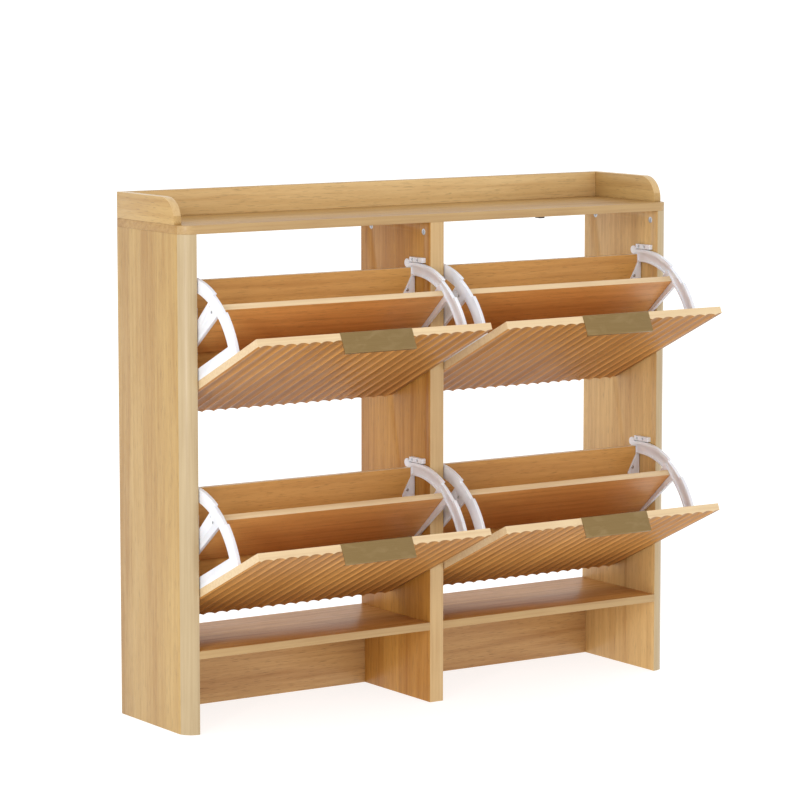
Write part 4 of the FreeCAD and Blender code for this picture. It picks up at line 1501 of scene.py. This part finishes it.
@dataclass
class FixedHardware:
    """The screws, cams, bolts, dowels and catch on the carcass."""

    catch_easing: float = 0.8 * MM

    def build(self) -> None:
        """Make every piece of fixed hardware."""
        ScrewSet("hardware_screws", CARCASS).build()
        CamSet().build()
        paint("cam_bolts", ZINC)
        paint("dowels", BEECH)
        Moulding("top_catch", CARCASS, "catch_plastic", DARK_PLASTIC, self.catch_easing).build()


# ---------------------------------------------------------------------------
# Studio


@dataclass(frozen=True)
class SoftLight:
    """A lamp with a wide face: where it hangs, what it points at, its size and its watts."""

    name: str
    place: Point
    aim: Point
    size: tuple[float, float]
    power: float


KEY_LIGHT = SoftLight("key_light", (-2.6, -3.4, 3.6), (0.0, 0.0, 0.5), (3.0, 3.0), 22.0)
STRIP_LIGHT = SoftLight("strip_light", (-4.0, -2.8, 1.0), (-0.5, -0.1, 0.5), (0.35, 2.4), 46.0)


@dataclass
class Studio:
    """A plain white studio: a wide pale floor, soft lights and one camera."""

    floor_reach: float = 600.0
    floor_drop: float = 0.5 * MM
    floor_tones: tuple[float, float] = (0.37, 0.39)
    floor_glow: float = 0.80
    sky_strength: float = 1.05
    camera_place: Point = (-3.73269, -5.61212, 1.42586)
    camera_down: float = 7.24992
    camera_turn: float = 33.59831
    lens: float = 159.23
    sensor: float = 36.0
    sight: float = 2000.0

    def build(self) -> None:
        """Set up the floor, the lights and the camera."""
        self.floor()
        self.sky()
        self.hang(KEY_LIGHT)
        self.hang(STRIP_LIGHT)
        self.camera()
        bpy.context.scene.view_settings.view_transform = "Standard"

    def floor(self) -> None:
        """Lay the floor."""
        Bench.clear()
        bpy.ops.mesh.primitive_plane_add(size=self.floor_reach * 2, location=(0.0, 0.0, -self.floor_drop))
        floor = Bench.named("studio_floor")
        graph = Graph("studio_paper")
        where = graph.add("ShaderNodeTexCoord").outputs["Object"]
        cloud = graph.noise(where, 3.0, 2.0)
        low, high = ((tone, tone, tone, 1.0) for tone in self.floor_tones)
        colour = graph.mix(cloud, low, high)
        floor.data.materials.append(graph.finish(
            colour, 0.9, cloud, 0.00002, Specular_IOR_Level=0.0,
            Emission_Color=(1.0, 1.0, 1.0, 1.0), Emission_Strength=self.floor_glow))

    def sky(self) -> None:
        """Light the whole studio evenly."""
        world = bpy.data.worlds.new("studio_sky")
        world.use_nodes = True
        ground = world.node_tree.nodes["Background"]
        ground.inputs["Color"].default_value = (1.0, 1.0, 1.0, 1.0)
        ground.inputs["Strength"].default_value = self.sky_strength
        bpy.context.scene.world = world

    def hang(self, soft: SoftLight) -> None:
        """Hang one soft lamp.

        Args:
            soft: The lamp's place, aim, size and power.
        """
        light = bpy.data.lights.new(soft.name, "AREA")
        light.shape = "RECTANGLE"
        light.size, light.size_y = soft.size
        light.energy = soft.power
        lamp = bpy.data.objects.new(soft.name, light)
        lamp.location = soft.place
        lamp.rotation_euler = (Vector(soft.aim) - lamp.location).to_track_quat("-Z", "Y").to_euler()
        bpy.context.scene.collection.objects.link(lamp)

    def camera(self) -> None:
        """Set up the camera."""
        data = bpy.data.cameras.new("studio_camera")
        data.lens = self.lens
        data.sensor_width = self.sensor
        data.clip_end = self.sight
        camera = bpy.data.objects.new("studio_camera", data)
        camera.location = self.camera_place
        camera.rotation_euler = (math.radians(90.0 - self.camera_down), 0.0,
                                 -math.radians(self.camera_turn))
        bpy.context.scene.collection.objects.link(camera)
        bpy.context.scene.camera = camera


def main() -> None:
    """Build the cabinet and its studio.
    """
    logging.basicConfig(level=logging.INFO, format="%(name)s: %(message)s")
    Carcass().build()
    for row in Row:
        for column in Hand:
            Compartment(row, column).build()
    FixedHardware().build()
    Studio().build()
    Bench.clear()


if __name__ == "__main__":
    main()
